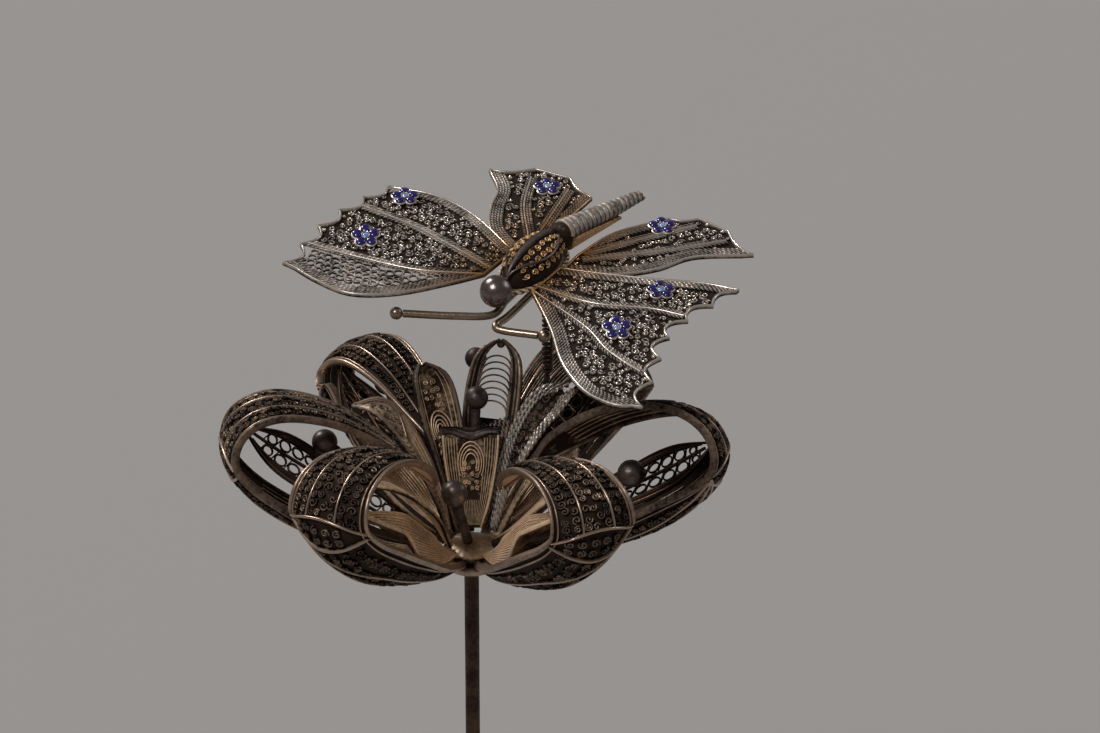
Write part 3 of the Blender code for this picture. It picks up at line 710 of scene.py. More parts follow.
MATERIALS = {
    "petal": aged_metal("petal_silver", (0.006, 0.0035, 0.0025), (0.46, 0.33, 0.245), (0.42, 0.28, 0.14),
                        rough=(0.7, 0.27), metal=(0.3, 0.9)),
    "gilt": aged_metal("gilt_silver", (0.024, 0.012, 0.006), (0.94, 0.68, 0.45), (0.72, 0.42, 0.16),
                       rough=(0.75, 0.34), metal=(0.1, 0.5)),
    "wing": aged_metal("wing_silver", (0.013, 0.006, 0.0025), (0.74, 0.65, 0.57), (0.44, 0.24, 0.10),
                       rough=(0.7, 0.22), metal=(0.1, 0.85)),
    "ball": aged_metal("ball_silver", (0.020, 0.013, 0.012), (0.20, 0.16, 0.155), (0.46, 0.34, 0.22),
                       rough=(0.5, 0.26), bump=0.45),
    "wire": aged_metal("dark_wire", (0.016, 0.009, 0.006), (0.15, 0.09, 0.065), (0.26, 0.18, 0.10)),
    "blue": enamel("blue_enamel", (0.007, 0.003, 0.06), (0.020, 0.012, 0.17)),
    "pale": enamel("pale_blue_enamel", (0.10, 0.24, 0.58), (0.30, 0.50, 0.80)),
}


# ---------------------------------------------------------------- pieces

def make_piece(name, work, material, body, stands_for=(), gild=0.0):
    """Makes a piece of the gathered work, which rides on a body and may stand for CAD nodes.

    The gild is a number, or a function from points to numbers.
    """
    points = np.concatenate(work.points)
    golden = gild(points) if callable(gild) else np.full(len(points), gild)
    mesh = bpy.data.meshes.new(name)
    mesh.from_pydata((points * MM).tolist(), [], np.concatenate(work.faces).tolist() + work.polygons)
    for attribute, values in (("wear", np.concatenate(work.wear)), ("gild", golden)):
        mesh.attributes.new(attribute, "FLOAT", "POINT").data.foreach_set("value", values)
    mesh.shade_smooth()
    mesh.set_sharp_from_angle(angle=math.radians(CREASE_ANGLE))
    mesh.materials.append(MATERIALS[material])
    piece = bpy.data.objects.new(name, mesh)
    bpy.context.scene.collection.objects.link(piece)
    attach(piece, body)
    if stands_for:
        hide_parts(*stands_for)


def make_pin():
    same = lambda points: points
    work = Work()
    shank = STEM_LENGTH - STEM_POINT_LENGTH
    profile = [(STEM_RADIUS, COLLAR_HEIGHT)]
    for depth in np.linspace(0.0, shank, 61):
        profile.append((STEM_RADIUS * (1 - 0.1 * depth / STEM_LENGTH) * random.uniform(0.985, 1.0), -depth))
    for share in (0.3, 0.6, 0.8, 0.93, 1.0):
        profile.append((STEM_RADIUS * 0.9 * max(1 - share ** 1.6, 0.12), -shank - STEM_POINT_LENGTH * share))
    turned(work, profile, same, 32, 0.45)
    make_piece("pin_stem_wire", work, "wire", PIN, ["pin_stem"])
    work = Work()
    reach = COLLAR_RADIUS
    turned(work, ((STEM_RADIUS, 0.06), (reach - 0.35, 0.0), (reach - 0.1, 0.1), (reach, 0.3), (reach, 0.6),
                  (reach - 0.15, 0.85), (reach - 0.4, COLLAR_HEIGHT), (STEM_RADIUS, COLLAR_HEIGHT)),
           same, 40, (0.1, 0.3, 0.8, 0.9, 0.9, 0.8, 0.3, 0.1))
    make_piece("collar_ring", work, "petal", PIN, ["collar"])
    work = Work()
    turned(work, ((1.5, COLLAR_HEIGHT + 0.1), (HUB_RADIUS - 0.25, HUB_BOTTOM), (HUB_RADIUS, HUB_BOTTOM + 0.2),
                  (HUB_RADIUS, HUB_BOTTOM + 0.4), (HUB_RADIUS - 0.5, HUB_BOTTOM + 0.7), (1.6, HUB_TOP - 0.35),
                  (0.7, HUB_TOP - 0.08), (0.1, HUB_TOP)), same, 96, (0.1, 0.2, 0.6, 0.8, 0.7, 0.6, 0.6, 0.6), 24, 0.02)
    make_piece("hub_disc", work, "gilt", PIN, ["hub"])


class Leaf:
    """A petal or liner in the making. Shares across it run from -1 on its right edge to 1 on its left one."""

    def __init__(self, name, surface):
        self.name, self.surface, self.length = name, surface, surface.length
        self.work = Work()

    def edge(self, share, inset=0.0):
        """The distance across at a share of the half width, as a function of the distance along."""
        return lambda along: share * (self.surface.half_width(along) - inset)

    def line(self, share, start, end, inset=0.0, step=0.7):
        """A pattern path that keeps its share of the half width."""
        places = evenly(np.array([[start], [end]]), step)[:, 0]
        return np.stack([[self.edge(share, inset)(place) for place in places], places], axis=1)

    def draw(self, tool, *details, **settings):
        tool(self.work, self.surface, *details, **settings)

    def wires(self, shares, start, end, width, low, high, shine=1.0, inset=0.0, step=0.7):
        """Flat wires along the leaf, one at each share."""
        for share in shares:
            self.draw(strip, self.line(share, start, end, inset, step), width, low, high, shine=shine)

    def ropes(self, shares, start, end, radius, height, shine=0.9, inset=0.0):
        for share in shares:
            self.draw(rope, self.line(share, start, end, inset), radius, height, shine)

    def rim(self, width, low, high, shine):
        self.wires((-1, 1), 0.1, self.length, width, low, high, shine, width / 2, 0.5)

    def sheet(self, left, right, start, end, low, high, low_wear, high_wear, inset=0.0, rows=40, columns=7):
        self.draw(sheet, self.edge(left, inset), self.edge(right, inset), start, end, low, high,
                  low_wear, high_wear, rows, columns)

    def panel(self, left, right, *details, **settings):
        """Fills the leaf with scrolls between two shares."""
        self.draw(fill_panel, self.edge(left), self.edge(right), *details, **settings)

    def finish(self, suffix, material, slot="gilt_silver", stands=False, gild=0.0):
        """Makes a piece of the work so far, which may stand for the leaf's node, and starts the next one."""
        make_piece(self.name + suffix, self.work, material, PIN, [self.name] if stands else (), gild)
        self.work = Work()


def make_outer_petal(name, numbers):
    azimuth, reach, tall, cup, roll, twist, sway, lean = numbers
    peak = max(height for radius, height in PETAL_PATH)
    path = [(PETAL_START + (radius - PETAL_START) * reach, height * (1 + (tall - 1) * height / peak))
            for radius, height in PETAL_PATH]
    cups = [cup * depth for depth in PETAL_CUP]
    leaf = Leaf(name, leaf_surface(azimuth, path, PETAL_HALF_WIDTH, cups, roll, twist, sway, lean))
    length = leaf.length
    bend = length * LENS_PLACE
    half_width = leaf.surface.half_width(bend)
    # Painted light: on the two front petals the inner side of the sheet and its fine wires get high wear and come out
    # bright, while the other petals' insides stay dark. All of them are the same gilt.
    gilded = name.startswith("outer_petal_front")
    leaf.sheet(-1, 1, 0.2, length - 0.3, -0.06, 0.08, -0.2, 0.8 if gilded else 0.06, 0.15, 70, 9)
    leaf.wires(np.linspace(-0.86, 0.86, 15), 0.8, length * 0.4, 0.11, 0.07, 0.19, 0.95 if gilded else 0.6)
    leaf.wires(np.linspace(-0.66, 0.66, 5), length * 0.4, length * 0.9, 0.16, 0.07, 0.2, 0.55)
    leaf.finish("_sheet", "gilt")

    # Painted light: this petal's rim is made brighter or darker according to how the lamps fall on it.
    rim_wear_and_painted_light = RIM_WEAR_AND_PAINTED_LIGHT.get(name, RIM_WEAR_AND_PAINTED_SHADE)
    for sign in (-1, 1):
        leaf.draw(rail, leaf.line(sign, 0.0, length, 0.13, 0.5), 0.27, -0.42, 0.34, rim_wear_and_painted_light)
        leaf.wires([sign * 0.86], length * 0.03, length * 0.97, 0.13, -0.06, -0.3, 0.8)

    def lens(across, sign):
        return bend + sign * LENS_HALF_HEIGHT * max(1 - (across / half_width) ** 2, 0.0) ** 0.75

    for sign in (-1, 1):
        arc = np.array([(across, lens(across, sign)) for across in np.linspace(-0.93, 0.93, 19) * half_width])
        leaf.draw(strip, arc, 0.26, -0.06, -0.5)
    corner = LENS_CORNER if azimuth > 270 else -LENS_CORNER
    for share in (-0.5, 0.0, 0.5):
        rib = leaf.line(1.0, 1.2, bend)
        near = np.clip((rib[:, 1] / bend - 0.58) / 0.42, 0.0, 1.0) ** 2
        rib[:, 0] *= share + (corner - share) * near
        leaf.draw(strip, rib, 0.18, -0.06, -0.46)
    for share in (-0.36, 0.36):
        leaf.wires([share], lens(share * half_width, 1), length * 0.95, 0.17, -0.06, -0.42)
    leaf.finish("_frame", "petal", "petal_silver", True)

    if name in GROOVED_PETALS:
        leaf.wires(np.linspace(-0.74, 0.74, 12), length * 0.05, length * 0.94, 0.16, -0.06, -0.24, 0.4)
        leaf.finish("_grooves", "petal", "petal_silver")
        return
    fine = dict(size=0.92, width=0.1, low=-0.06, high=-0.4, shine=0.7)
    for left, right, clear in ((-0.82, -0.5, 0.0), (-0.5, 0.0, 0.6), (0.0, 0.5, 0.6), (0.5, 0.82, 0.0)):
        leaf.panel(left, right, 3.0, bend - 0.5 * LENS_HALF_HEIGHT - clear, **fine)
    for left, right, clear in ((-0.82, -0.36, 0.6), (-0.36, 0.36, 1.0), (0.36, 0.82, 0.6)):
        leaf.panel(left, right, bend + clear * LENS_HALF_HEIGHT, length * 0.93, **fine)
    half = half_width * 0.62
    for row, hand in ((-0.55, -1), (0.55, 1)):
        for across in np.arange(-half, half + 0.01, 1.1):
            leaf.draw(scroll, (across, bend + row), 0.5, any_turn(), 1.4, hand, 0.13, -0.06, -0.34, 0.55)
    leaf.finish("_filigree", "petal", "petal_silver")


def liner_leaf(name, numbers):
    azimuth, reach, lift, roll, twist = numbers
    last = len(LINER_RISE) - 1
    span = (LINER_END - LINER_START) * reach
    path = [(LINER_START + span * index / last, height * reach + lift * index / last)
            for index, height in enumerate(LINER_RISE)]
    return Leaf(name, leaf_surface(azimuth, path, LINER_HALF_WIDTH, (0.0, 0.0), roll, twist))


def make_liner(name, numbers):
    """A pointed leaf of solid margins and a midrib, with two rows of rings between them."""
    leaf = liner_leaf(name, numbers)
    length, half_width = leaf.length, leaf.surface.half_width
    leaf.sheet(-1, 1, 0.1, length * 0.26, -0.09, 0.09, 0.2, 0.4, rows=10)
    for sign in (-1, 1):
        margin = lambda along: sorted((sign * half_width(along), sign * max(half_width(along) * LINER_HOLE, 0.1)))
        leaf.draw(sheet, lambda along: margin(along)[0], lambda along: margin(along)[1],
                  length * 0.24, length - 0.05, -0.1, 0.1, 0.25, 0.4, 34, 4)
        leaf.wires([sign], 0.2, length - 0.05, 0.16, -0.24, 0.24, inset=0.07, step=0.6)
        leaf.wires([sign * LINER_HOLE], length * 0.24, length * 0.97, 0.12, -0.18, 0.18, 0.7)
        leaf.wires([sign * 0.78], length * 0.1, length * 0.95, 0.1, 0.08, 0.16, 0.6)
        place = length * 0.27
        while place < length * 0.93:
            room = half_width(place) * LINER_HOLE - 0.1
            radius = min(room / 2, 0.66)
            if radius < SMALLEST_RING:
                break
            across = sign * (0.1 + room / 2 + random.uniform(-0.05, 0.05))
            leaf.draw(ring, (across, place), radius * 0.93, 0.15, -0.12, 0.12, 0.7)
            side = ((across - radius * 1.1, place + radius * 0.7), (across, place + radius * 1.15),
                    (across + radius * 1.1, place + radius * 1.6))
            leaf.draw(strip, evenly(curve(side, 8), 0.3), 0.13, -0.1, 0.1, shine=0.6)
            place += radius * 2.3
    leaf.wires([0], 0.3, length * 0.98, 0.24, -0.16, 0.16, 0.7)
    leaf.finish("_lattice", "wire", stands=True)


def make_leaf_liner(name, numbers):
    """A gilded leaf with fine wires along it, which fan out from the hub."""
    leaf = liner_leaf(name, numbers)
    length = leaf.length
    leaf.sheet(-1, 1, 0.1, length - 0.1, -0.1, 0.06, 0.3, 0.85, 0.1)
    for share in np.linspace(-0.88, 0.88, 15):
        leaf.wires([share], 0.3, length * (0.95 - 0.25 * random.uniform(0, 1)), 0.1, 0.04, 0.16, 0.95)
    for sign in (-1, 1):
        leaf.draw(rail, leaf.line(sign, 0.1, length - 0.05, 0.1, 0.6), 0.2, -0.2, 0.2, 0.9)
    leaf.finish("_leaf", "gilt", stands=True)


def arch(wide, tall, level, dip):
    """The upper part of an oval, as a pattern path that ends a dip of half a turn below its middle level."""
    angles = np.linspace(-dip * math.pi, (1 + dip) * math.pi, 20)
    return np.stack([wide * np.cos(angles), level + tall * np.sin(angles)], axis=1)


def inner_leaf(name):
    azimuth, path, widths, cup, twist = INNER_PETALS[name]
    return Leaf(name, leaf_surface(azimuth, path, widths, (0.05, cup, cup, cup, 0.1), 0.0, twist))


def make_broad_petal():
    """A leaf that flares to a dark rolled edge, with fine wires along it round an arched eye."""
    leaf = inner_leaf("inner_petal_broad")
    length = leaf.length
    flared = lambda share: lambda along: leaf.edge(share)(along) * (1 + BROAD_FLARE * (along / length) ** 3)
    line = lambda share, start, end: np.array([(flared(share)(along), along)
                                               for along in np.arange(start, end, 0.5)])
    leaf.draw(sheet, flared(-1), flared(1), 0.1, length - 0.2, -0.08, 0.08, 0.1, 0.14)
    for share in np.linspace(-0.92, 0.92, 19):
        end = length * (0.93 if abs(share) > 0.42 else 0.34)
        leaf.draw(strip, line(share, 0.4, end), 0.08, 0.07, 0.19, shine=0.62)
    eye = length * 0.62
    for reach in (0.75, 1.05, 1.35, 1.65):
        leaf.draw(strip, arch(reach * 0.78, reach * 1.25, eye + 0.4, 0.2), 0.11, 0.07, 0.26, shine=0.8)
    leaf.draw(fill_panel, lambda along: -0.95, lambda along: 0.95, eye - 2.4, eye + 1.3, 0.72, 0.12, 0.06, 0.28)
    for sign in (-1, 1):
        leaf.draw(strip, line(sign, 0.1, length * 0.97), 0.22, -0.18, 0.24, shine=0.8)
    leaf.finish("_leaf", "gilt", stands=True)
    top = np.array([(across, length - 0.3 - 0.25 * math.cos(1.5 * across))
                    for across in np.linspace(-2.75, 2.75, 25)])
    for shift, height in ((0.0, 0.05), (-0.36, 0.16), (0.3, 0.3)):
        leaf.draw(round_wire, top + (0.0, shift), 0.28, height, 0.3)
    leaf.finish("_rolled_edge", "ball")


def make_tall_petal():
    """A pointed petal: bows of wire with air between them near its tip, and filigree and beaded rows below."""
    leaf = inner_leaf("inner_petal_tall")
    length = leaf.length
    leaf.rim(0.36, -0.2, 0.24, 0.6)
    for share, start in ((0.8, 0.1), (0.62, 0.3), (-0.8, 0.1), (-0.62, 0.3)):
        leaf.wires([share], length * start, length * 0.985, 0.24, -0.14, 0.18, 0.4)
    leaf.draw(button, (0.0, length * 0.975), 0.42, -0.14, 0.34, 0.5)
    turn = np.linspace(0.0, math.pi, 17)
    for index in range(8):
        crown = length * (0.91 - 0.034 * index)
        wide = leaf.surface.half_width(crown - 1.0) * 0.58
        bow = np.stack([wide * np.cos(turn), crown - 1.7 * (1 - np.sin(turn) ** 0.7)], axis=1)
        leaf.draw(strip, bow, 0.15, -0.08, 0.12, shine=0.4)
    leaf.finish("_frame", "petal", stands=True)
    leaf.sheet(-0.95, 0.95, 0.2, length * 0.58, -0.07, 0.05, 0.1, 0.1, rows=24)
    for left, right in ((-1, -0.6), (0.6, 1)):
        leaf.sheet(left, right, length * 0.57, length * 0.97, -0.07, 0.05, 0.0, 0.0, rows=20, columns=4)
    for share in (-0.86, -0.7, -0.54, -0.38, -0.22, -0.06):
        leaf.ropes([share], 0.6, length * (0.6 - 0.1 * abs(share + 0.5)), 0.13, 0.14, 1.0)
    leaf.ropes((0.7, 0.86), 0.6, length * 0.4, 0.13, 0.14)
    leaf.panel(0.05, 0.66, length * 0.14, length * 0.58, 0.8, 0.11, 0.04, 0.26)
    leaf.finish("_rows", "wing", gild=0.35)


def make_cupped_petal():
    leaf = inner_leaf("inner_petal_cupped")
    length = leaf.length
    eye = length * 0.6
    leaf.sheet(-1, 1, 0.1, length - 0.2, -0.08, 0.08, 0.1, 0.2, 0.1)
    leaf.wires((-0.8, -0.62, 0.62, 0.8), 0.6, length * 0.93, 0.1, 0.07, 0.18, 0.7)
    leaf.wires((-0.4, -0.2, 0.0, 0.2, 0.4), 0.6, length * 0.34, 0.1, 0.07, 0.17, 0.8)
    for reach in (0.35, 0.62, 0.9, 1.2):
        leaf.draw(strip, arch(reach, reach * 1.5, eye, 0.15), 0.13, 0.06, 0.26)
    for share, start, end in ((0.45, length * 0.36, eye - 0.4), (0.5, eye + 2.1, length * 0.93)):
        leaf.panel(-share, share, start, end, 0.8, 0.11, 0.06, 0.24)
    leaf.finish("_leaf", "gilt", stands=True)
    leaf.rim(0.3, -0.2, 0.24, 0.6)
    leaf.finish("_frame", "petal")


def make_curled_petal():
    leaf = inner_leaf("inner_petal_curled")
    length = leaf.length
    leaf.sheet(-1, 1, 0.1, length - 0.2, -0.08, 0.06, 0.35, 0.5, 0.1)
    leaf.wires((-0.8, -0.6, -0.4), 0.6, length * 0.6, 0.09, 0.05, 0.16, 0.9)
    leaf.ropes((0.2, 0.42), 0.6, length * 0.64, 0.15, 0.14)
    leaf.finish("_leaf", "gilt", stands=True)
    leaf.rim(0.26, -0.2, 0.2, 0.8)
    start = length * 0.62
    places = np.linspace(start, length * 0.97, 16)
    bulge = np.sin(np.linspace(0, math.pi, 16)) * 0.75 * leaf.surface.half_width(length * 0.78)
    for sign in (-1, 1):
        leaf.draw(strip, np.stack([sign * bulge, places], axis=1), 0.16, -0.1, 0.26, shine=0.8)
    for share, size, low, high, shine in ((0.55, 0.8, 0.0, 0.24, 0.9), (0.6, 0.9, -0.06, -0.24, 0.8)):
        leaf.panel(-share, share, start + 0.6, length * 0.92, size, 0.11, low, high, shine)
    leaf.finish("_frame", "petal")


def make_twist_edged_petal():
    leaf = inner_leaf("inner_petal_twist_edged")
    length = leaf.length
    for sign in (-1, 1):
        leaf.ropes([sign], 0.3, length * 0.99, 0.2, 0.0, inset=0.16)
        leaf.ropes([sign], 0.5, length * 0.96, 0.18, 0.06, inset=0.54)
        leaf.ropes([sign], 0.9, length * 0.92, 0.16, 0.06, inset=0.9)
    leaf.finish("_twists", "wing", stands=True)
    leaf.sheet(-0.95, 0.95, 0.2, length * 0.94, -0.1, -0.03, 0.1, 0.12, rows=30)
    leaf.panel(-0.5, 0.5, length * 0.2, length * 0.92, 0.9, 0.12, -0.04, 0.2, 0.9)
    leaf.finish("_filigree", "petal")


def make_right_petal():
    leaf = inner_leaf("inner_petal_right")
    length = leaf.length
    leaf.sheet(-1, 1, 0.1, length - 0.1, -0.08, 0.08, 0.2, 0.42, 0.1)
    leaf.wires((-0.75, -0.55, 0.35, 0.55, 0.75), 0.6, length * 0.9, 0.08, 0.07, 0.14, 0.7)
    angles = np.linspace(0, 2 * math.pi, 18, endpoint=False)
    for reach in (0.3, 0.55):
        oval = np.stack([reach * np.cos(angles), length * 0.5 + reach * 2.4 * np.sin(angles)], axis=1)
        leaf.draw(rope, np.vstack([oval, oval[:1]]), 0.09, 0.12)
    leaf.draw(fill_panel, lambda along: -0.5, lambda along: 0.5, length * 0.6, length * 0.82, 0.7, 0.1, 0.06, 0.2)
    leaf.rim(0.2, -0.18, 0.2, 0.7)
    leaf.finish("_leaf", "gilt", stands=True)


def make_low_petal():
    leaf = inner_leaf("inner_petal_low")
    length = leaf.length
    leaf.sheet(-0.55, 0.55, 0.1, length - 0.2, -0.08, 0.08, 0.8, 0.9)
    for share in np.linspace(-0.45, 0.45, 6):
        for side in (1, -1):
            leaf.wires([share], 0.5, length * 0.9, 0.1, side * 0.07, side * 0.16)
    leaf.wires((-0.55, 0.55), 0.1, length - 0.2, 0.2, -0.2, 0.2)
    leaf.finish("_leaf", "gilt", stands=True)


def make_fan(name, azimuth):
    """A broad gilded leaf low behind the stamens, with bright wires that fan out from the hub."""
    leaf = Leaf(name, leaf_surface(azimuth, FAN_PATH, FAN_HALF_WIDTH, FAN_CUP))
    length = leaf.length
    leaf.sheet(-1, 1, 0.1, length - 0.1, -0.08, 0.06, 0.2, 0.85, 0.1)
    for share in np.linspace(-0.93, 0.93, 21):
        end = length * random.uniform(0.7, 0.96)
        leaf.wires([share], 0.4, end, 0.09, 0.05, 0.17, random.uniform(0.85, 1.1))
    leaf.rim(0.22, -0.2, 0.2, 0.9)
    leaf.finish("", "gilt")


def make_stamens():
    for name, (foot, ball, wire, radius) in STAMENS.items():
        foot = np.array(foot)
        length = np.linalg.norm(ball - foot)
        upward = (ball - foot) / length
        side = np.cross((0.0, 1.0, 0.0), upward)
        side /= np.linalg.norm(side)
        axes = np.array([side, np.cross(upward, side), upward])
        seat = math.asin(wire / radius)
        profile = [(wire * 0.96, 0.0, 0.3)]
        profile += [(wire * 0.96, share * (length - radius), 0.45) for share in (0.25, 0.5, 0.75)]
        profile.append((wire * 1.25, length - radius * math.cos(seat) - 0.12, 0.3))
        for angle in np.linspace(seat * 1.2, math.pi - 0.06, 19):
            seam = 1.0 + 0.02 * math.exp(-((angle - math.pi / 2) / 0.07) ** 2)
            profile.append((radius * seam * math.sin(angle) * 0.985, length - radius * math.cos(angle), 0.45))
        profile = np.array(profile)
        work = Work()
        turned(work, profile[:, :2], lambda points: foot + points @ axes, 28, profile[:, 2])
        make_piece(name + "_ball", work, "ball", PIN, [name], GILDED_STAMENS.get(name, 0.1))


def spring_peg(work, bottom, top, radius):
    """A straight wire on the coil's axis, which closes the gap where one length of the spring meets the next."""
    tube(work, [(*SPRING_AXIS, height) for height in (bottom, (bottom + top) / 2, top)], radius, 10, 0.4)


def make_spring():
    work = Work()
    tube(work, curve(TAIL_PATH, 30), TAIL_WIRE, 12, 0.4)
    spring_peg(work, TAIL_PATH[-1][2] - 0.2, SPRING_LEVELS["spring_lower_coil"][0] + 0.4, SPRING_PEG)
    make_piece("spring_tail_wire", work, "wire", PIN, ["spring_tail"])
    reach = SPRING_WIRE + SPRING_GAP / 2
    for name, (bottom, top) in SPRING_LEVELS.items():
        low, high = bottom + reach, top - reach
        turns = (high - low) / SPRING_PITCH
        angles = np.linspace(0.0, 2 * math.pi * turns, int(turns * 16))
        closed = SPRING_END_TURN * 2 * math.pi
        heights = low + (high - low) * np.clip((angles - closed) / (angles[-1] - 2 * closed), 0.0, 1.0)
        path = np.stack([SPRING_AXIS[0] + SPRING_RADIUS * np.cos(angles),
                         SPRING_AXIS[1] + SPRING_RADIUS * np.sin(angles), heights], axis=1)
        work = Work()
        tube(work, path, SPRING_WIRE * 1.12, 8, 0.5)
        if name == "spring_lower_coil":
            spring_peg(work, top - 0.45, top + 0.4, SPRING_PEG)
        else:
            spring_peg(work, top - 0.55, PLATE_FOOT, TAIL_WIRE)
        make_piece(name + "_wire", work, "wire", COIL if name == "spring_lower_coil" else BUTTERFLY,
                   [name])


# ---------------------------------------------------------------- butterfly

def near_body(points):
    """How gilded the butterfly is: fully beside its body, fading along the wings."""
    gap = points - BODY_FRAME[:3, 3]
    forward = gap @ BODY_FRAME[:3, 0]
    left = gap @ BODY_FRAME[:3, 1]
    apart = np.sqrt((np.maximum(np.abs(forward) - 4.0, 0.0) * 0.5) ** 2 + left ** 2)
    return np.clip(1.4 - apart / 6.5, 0.0, 1.0)


def make_thorax():
    length, width, tall = THORAX
    side_reach = math.pi / 2 * (width + tall) / 2
    plane = wing_surface(1, BASE_LEVEL)
    angles = np.linspace(0, 2 * math.pi, 60, endpoint=False)
    outline = np.stack([BASE_HALF_LENGTH * np.cos(angles),
                        BASE_HALF_WIDTH * np.sin(angles) * (1 - 0.15 * np.cos(angles))], axis=1) * 0.97
    half = BASE_THICKNESS / 2
    work = Work()
    work.add_plate(plane(outline, -half * 0.6), plane(outline, half * 0.6), 0.3, 0.4)
    rope(work, plane, np.vstack([outline, outline[:2]]), half * 1.1, 0.0)
    fill_panel(work, plane, lambda along: -3.6, lambda along: 3.6, -1.6, 1.6, 0.95, 0.12, -half * 0.5, -half * 1.2)
    make_piece("thorax_base_lace", work, "gilt", BUTTERFLY, ["thorax_base_plate"])

    work = Work()
    rings = []
    for height in np.linspace(BASE_LEVEL + half + 0.1, tall * 0.9, 9):
        share = math.sqrt(max(1 - (height / (tall * 0.93)) ** 2, 0.004))
        rings.append(on_body(np.stack([length * 0.93 * share * np.cos(angles), width * 0.9 * share * np.sin(angles),
                                       np.full(60, height)], axis=1)))
    work.add_rings(np.stack(rings), -0.05)
    make_piece("thorax_core", work, "gilt", BUTTERFLY, ["thorax_dome"], 0.8)

    work = Work()
    step = 0.95
    for forward in np.arange(-length + 0.7, length - 0.5, step * 0.95):
        for arc in np.arange(-side_reach * 0.95, side_reach * 0.96, step):
            if abs(arc) >= 0.8:
                scroll(work, dome_surface, (forward, arc), 0.46, any_turn(), 1.4, 1 if arc > 0 else -1,
                       0.13, -0.2, 0.04)
    make_piece("thorax_scrolls", work, "gilt", BUTTERFLY, gild=0.7)

    work = Work()
    spine = np.stack([np.linspace(-length * 0.985, length * 0.985, 31), np.zeros(31)], axis=1)
    strip(work, dome_surface, spine, 0.8, -0.3, 0.22, shine=0.6)
    rise = side_reach * 0.62 * np.sin(np.linspace(0.0, math.pi, 25)) ** 0.6
    for sign in (-1, 1):
        bow = np.stack([np.linspace(-length * 0.95, length * 0.95, 25), sign * rise], axis=1)
        strip(work, dome_surface, bow, 0.3, -0.25, 0.16, shine=0.6)
    make_piece("thorax_bands", work, "ball", BUTTERFLY)


def make_head():
    profile = []
    for angle in np.linspace(math.pi - 0.05, 0.05, 25):
        seam = 1.0 - 0.012 * math.exp(-((angle - math.pi / 2) / 0.06) ** 2)
        profile.append((HEAD_RADIUS * seam * math.sin(angle), HEAD_RADIUS * math.cos(angle)))
    work = Work()
    turned(work, profile, lambda points: on_body(points[:, [2, 0, 1]] + HEAD_CENTRE), 36, 0.85)
    make_piece("head_ball_shell", work, "ball", BUTTERFLY, ["head_ball"])


def make_abdomen():
    start, end = np.array(ABDOMEN_START), np.array(ABDOMEN_END)
    axis = (end - start) / np.linalg.norm(end - start)
    side = np.array([0.0, 1.0, 0.0])
    upward = np.cross(side, axis)

    def around(share, angle, radius):
        """A point at a radius and an angle round the abdomen, at a share of its length."""
        return (start + (end - start) * (0.01 + 0.98 * share)
                + (side * math.cos(angle) + upward * math.sin(angle)) * radius)

    work = Work()
    shares = np.linspace(0.0, 1.0, 24)
    core = start + (end - start) * shares[:, None]
    tube(work, on_body(core), [smooth(ABDOMEN_RADII, share) * 1.05 for share in shares], 12, 0.3)
    root = start + (start - end) * np.array([[0.09], [0.06], [0.02], [-0.01], [-0.03]])
    tube(work, on_body(root), ABDOMEN_ROOT_RADII, 20, 0.05)
    make_piece("abdomen_core_wire", work, "gilt", BUTTERFLY, ["abdomen_core"], 0.6)

    work = Work()
    shares = np.linspace(0.0, 1.0, ABDOMEN_TURNS * 18 + 1)
    radii = [smooth(ABDOMEN_WIRES, share) for share in shares]
    path = [around(share, 2 * math.pi * ABDOMEN_TURNS * share, smooth(ABDOMEN_RADII, share) + wire + 0.02)
            for share, wire in zip(shares, radii)]
    tube(work, on_body(path), radii, 10, 0.42)
    make_piece("abdomen_coil_wire", work, "wing", BUTTERFLY, ["abdomen_coil"])

    work = Work()
    middle, half = sum(TRAY_ARC) / 2, (TRAY_ARC[1] - TRAY_ARC[0]) / 2

    def tray(points, height):
        found = []
        for (across, along), lift in zip(points, np.broadcast_to(height, len(points))):
            share = along * TRAY_SHARE
            radius = smooth(ABDOMEN_RADII, share) + 2 * smooth(ABDOMEN_WIRES, share) + TRAY_GAP + lift
            found.append(around(share, math.radians(middle + half * across * (1.0 - 0.45 * along ** 2)), radius))
        return on_body(found)

    thick = TRAY_THICKNESS / 2
    sheet(work, tray, lambda along: -1.0, lambda along: 1.0, 0.0, 1.0, -thick, thick * 0.5, 0.5, 0.5, 40, 15)
    for along in np.linspace(0.01, 0.99, 44):
        row = np.stack([np.linspace(-0.99, 0.99, 15), np.full(15, along)], axis=1)
        strip(work, tray, row, 0.011, thick * 0.4, thick * 1.3)
    make_piece("abdomen_tray_lace", work, "gilt", BUTTERFLY, ["abdomen_tray"], 0.8)


def make_antennae():
    for name, points in ANTENNAE.items():
        root = (ANTENNA_ROOT, points[0][1], points[0][2] + 0.2)
        wire = curve((root, *points), 48)
        ahead = wire[-1] - wire[-2]
        ahead /= np.linalg.norm(ahead)
        path, radii = list(wire), [ANTENNA_WIRE * 0.98] * len(wire)
        for angle in np.linspace(0.25, math.pi - 0.1, 14):
            path.append(wire[-1] + ahead * ANTENNA_BALL * (1.0 - math.cos(angle)))
            radii.append(max(ANTENNA_BALL * math.sin(angle), 0.12))
        work = Work()
        tube(work, on_body(path), radii, 14, 0.85)
        make_piece(name + "_wire", work, "ball", BUTTERFLY, [name], 0.55)


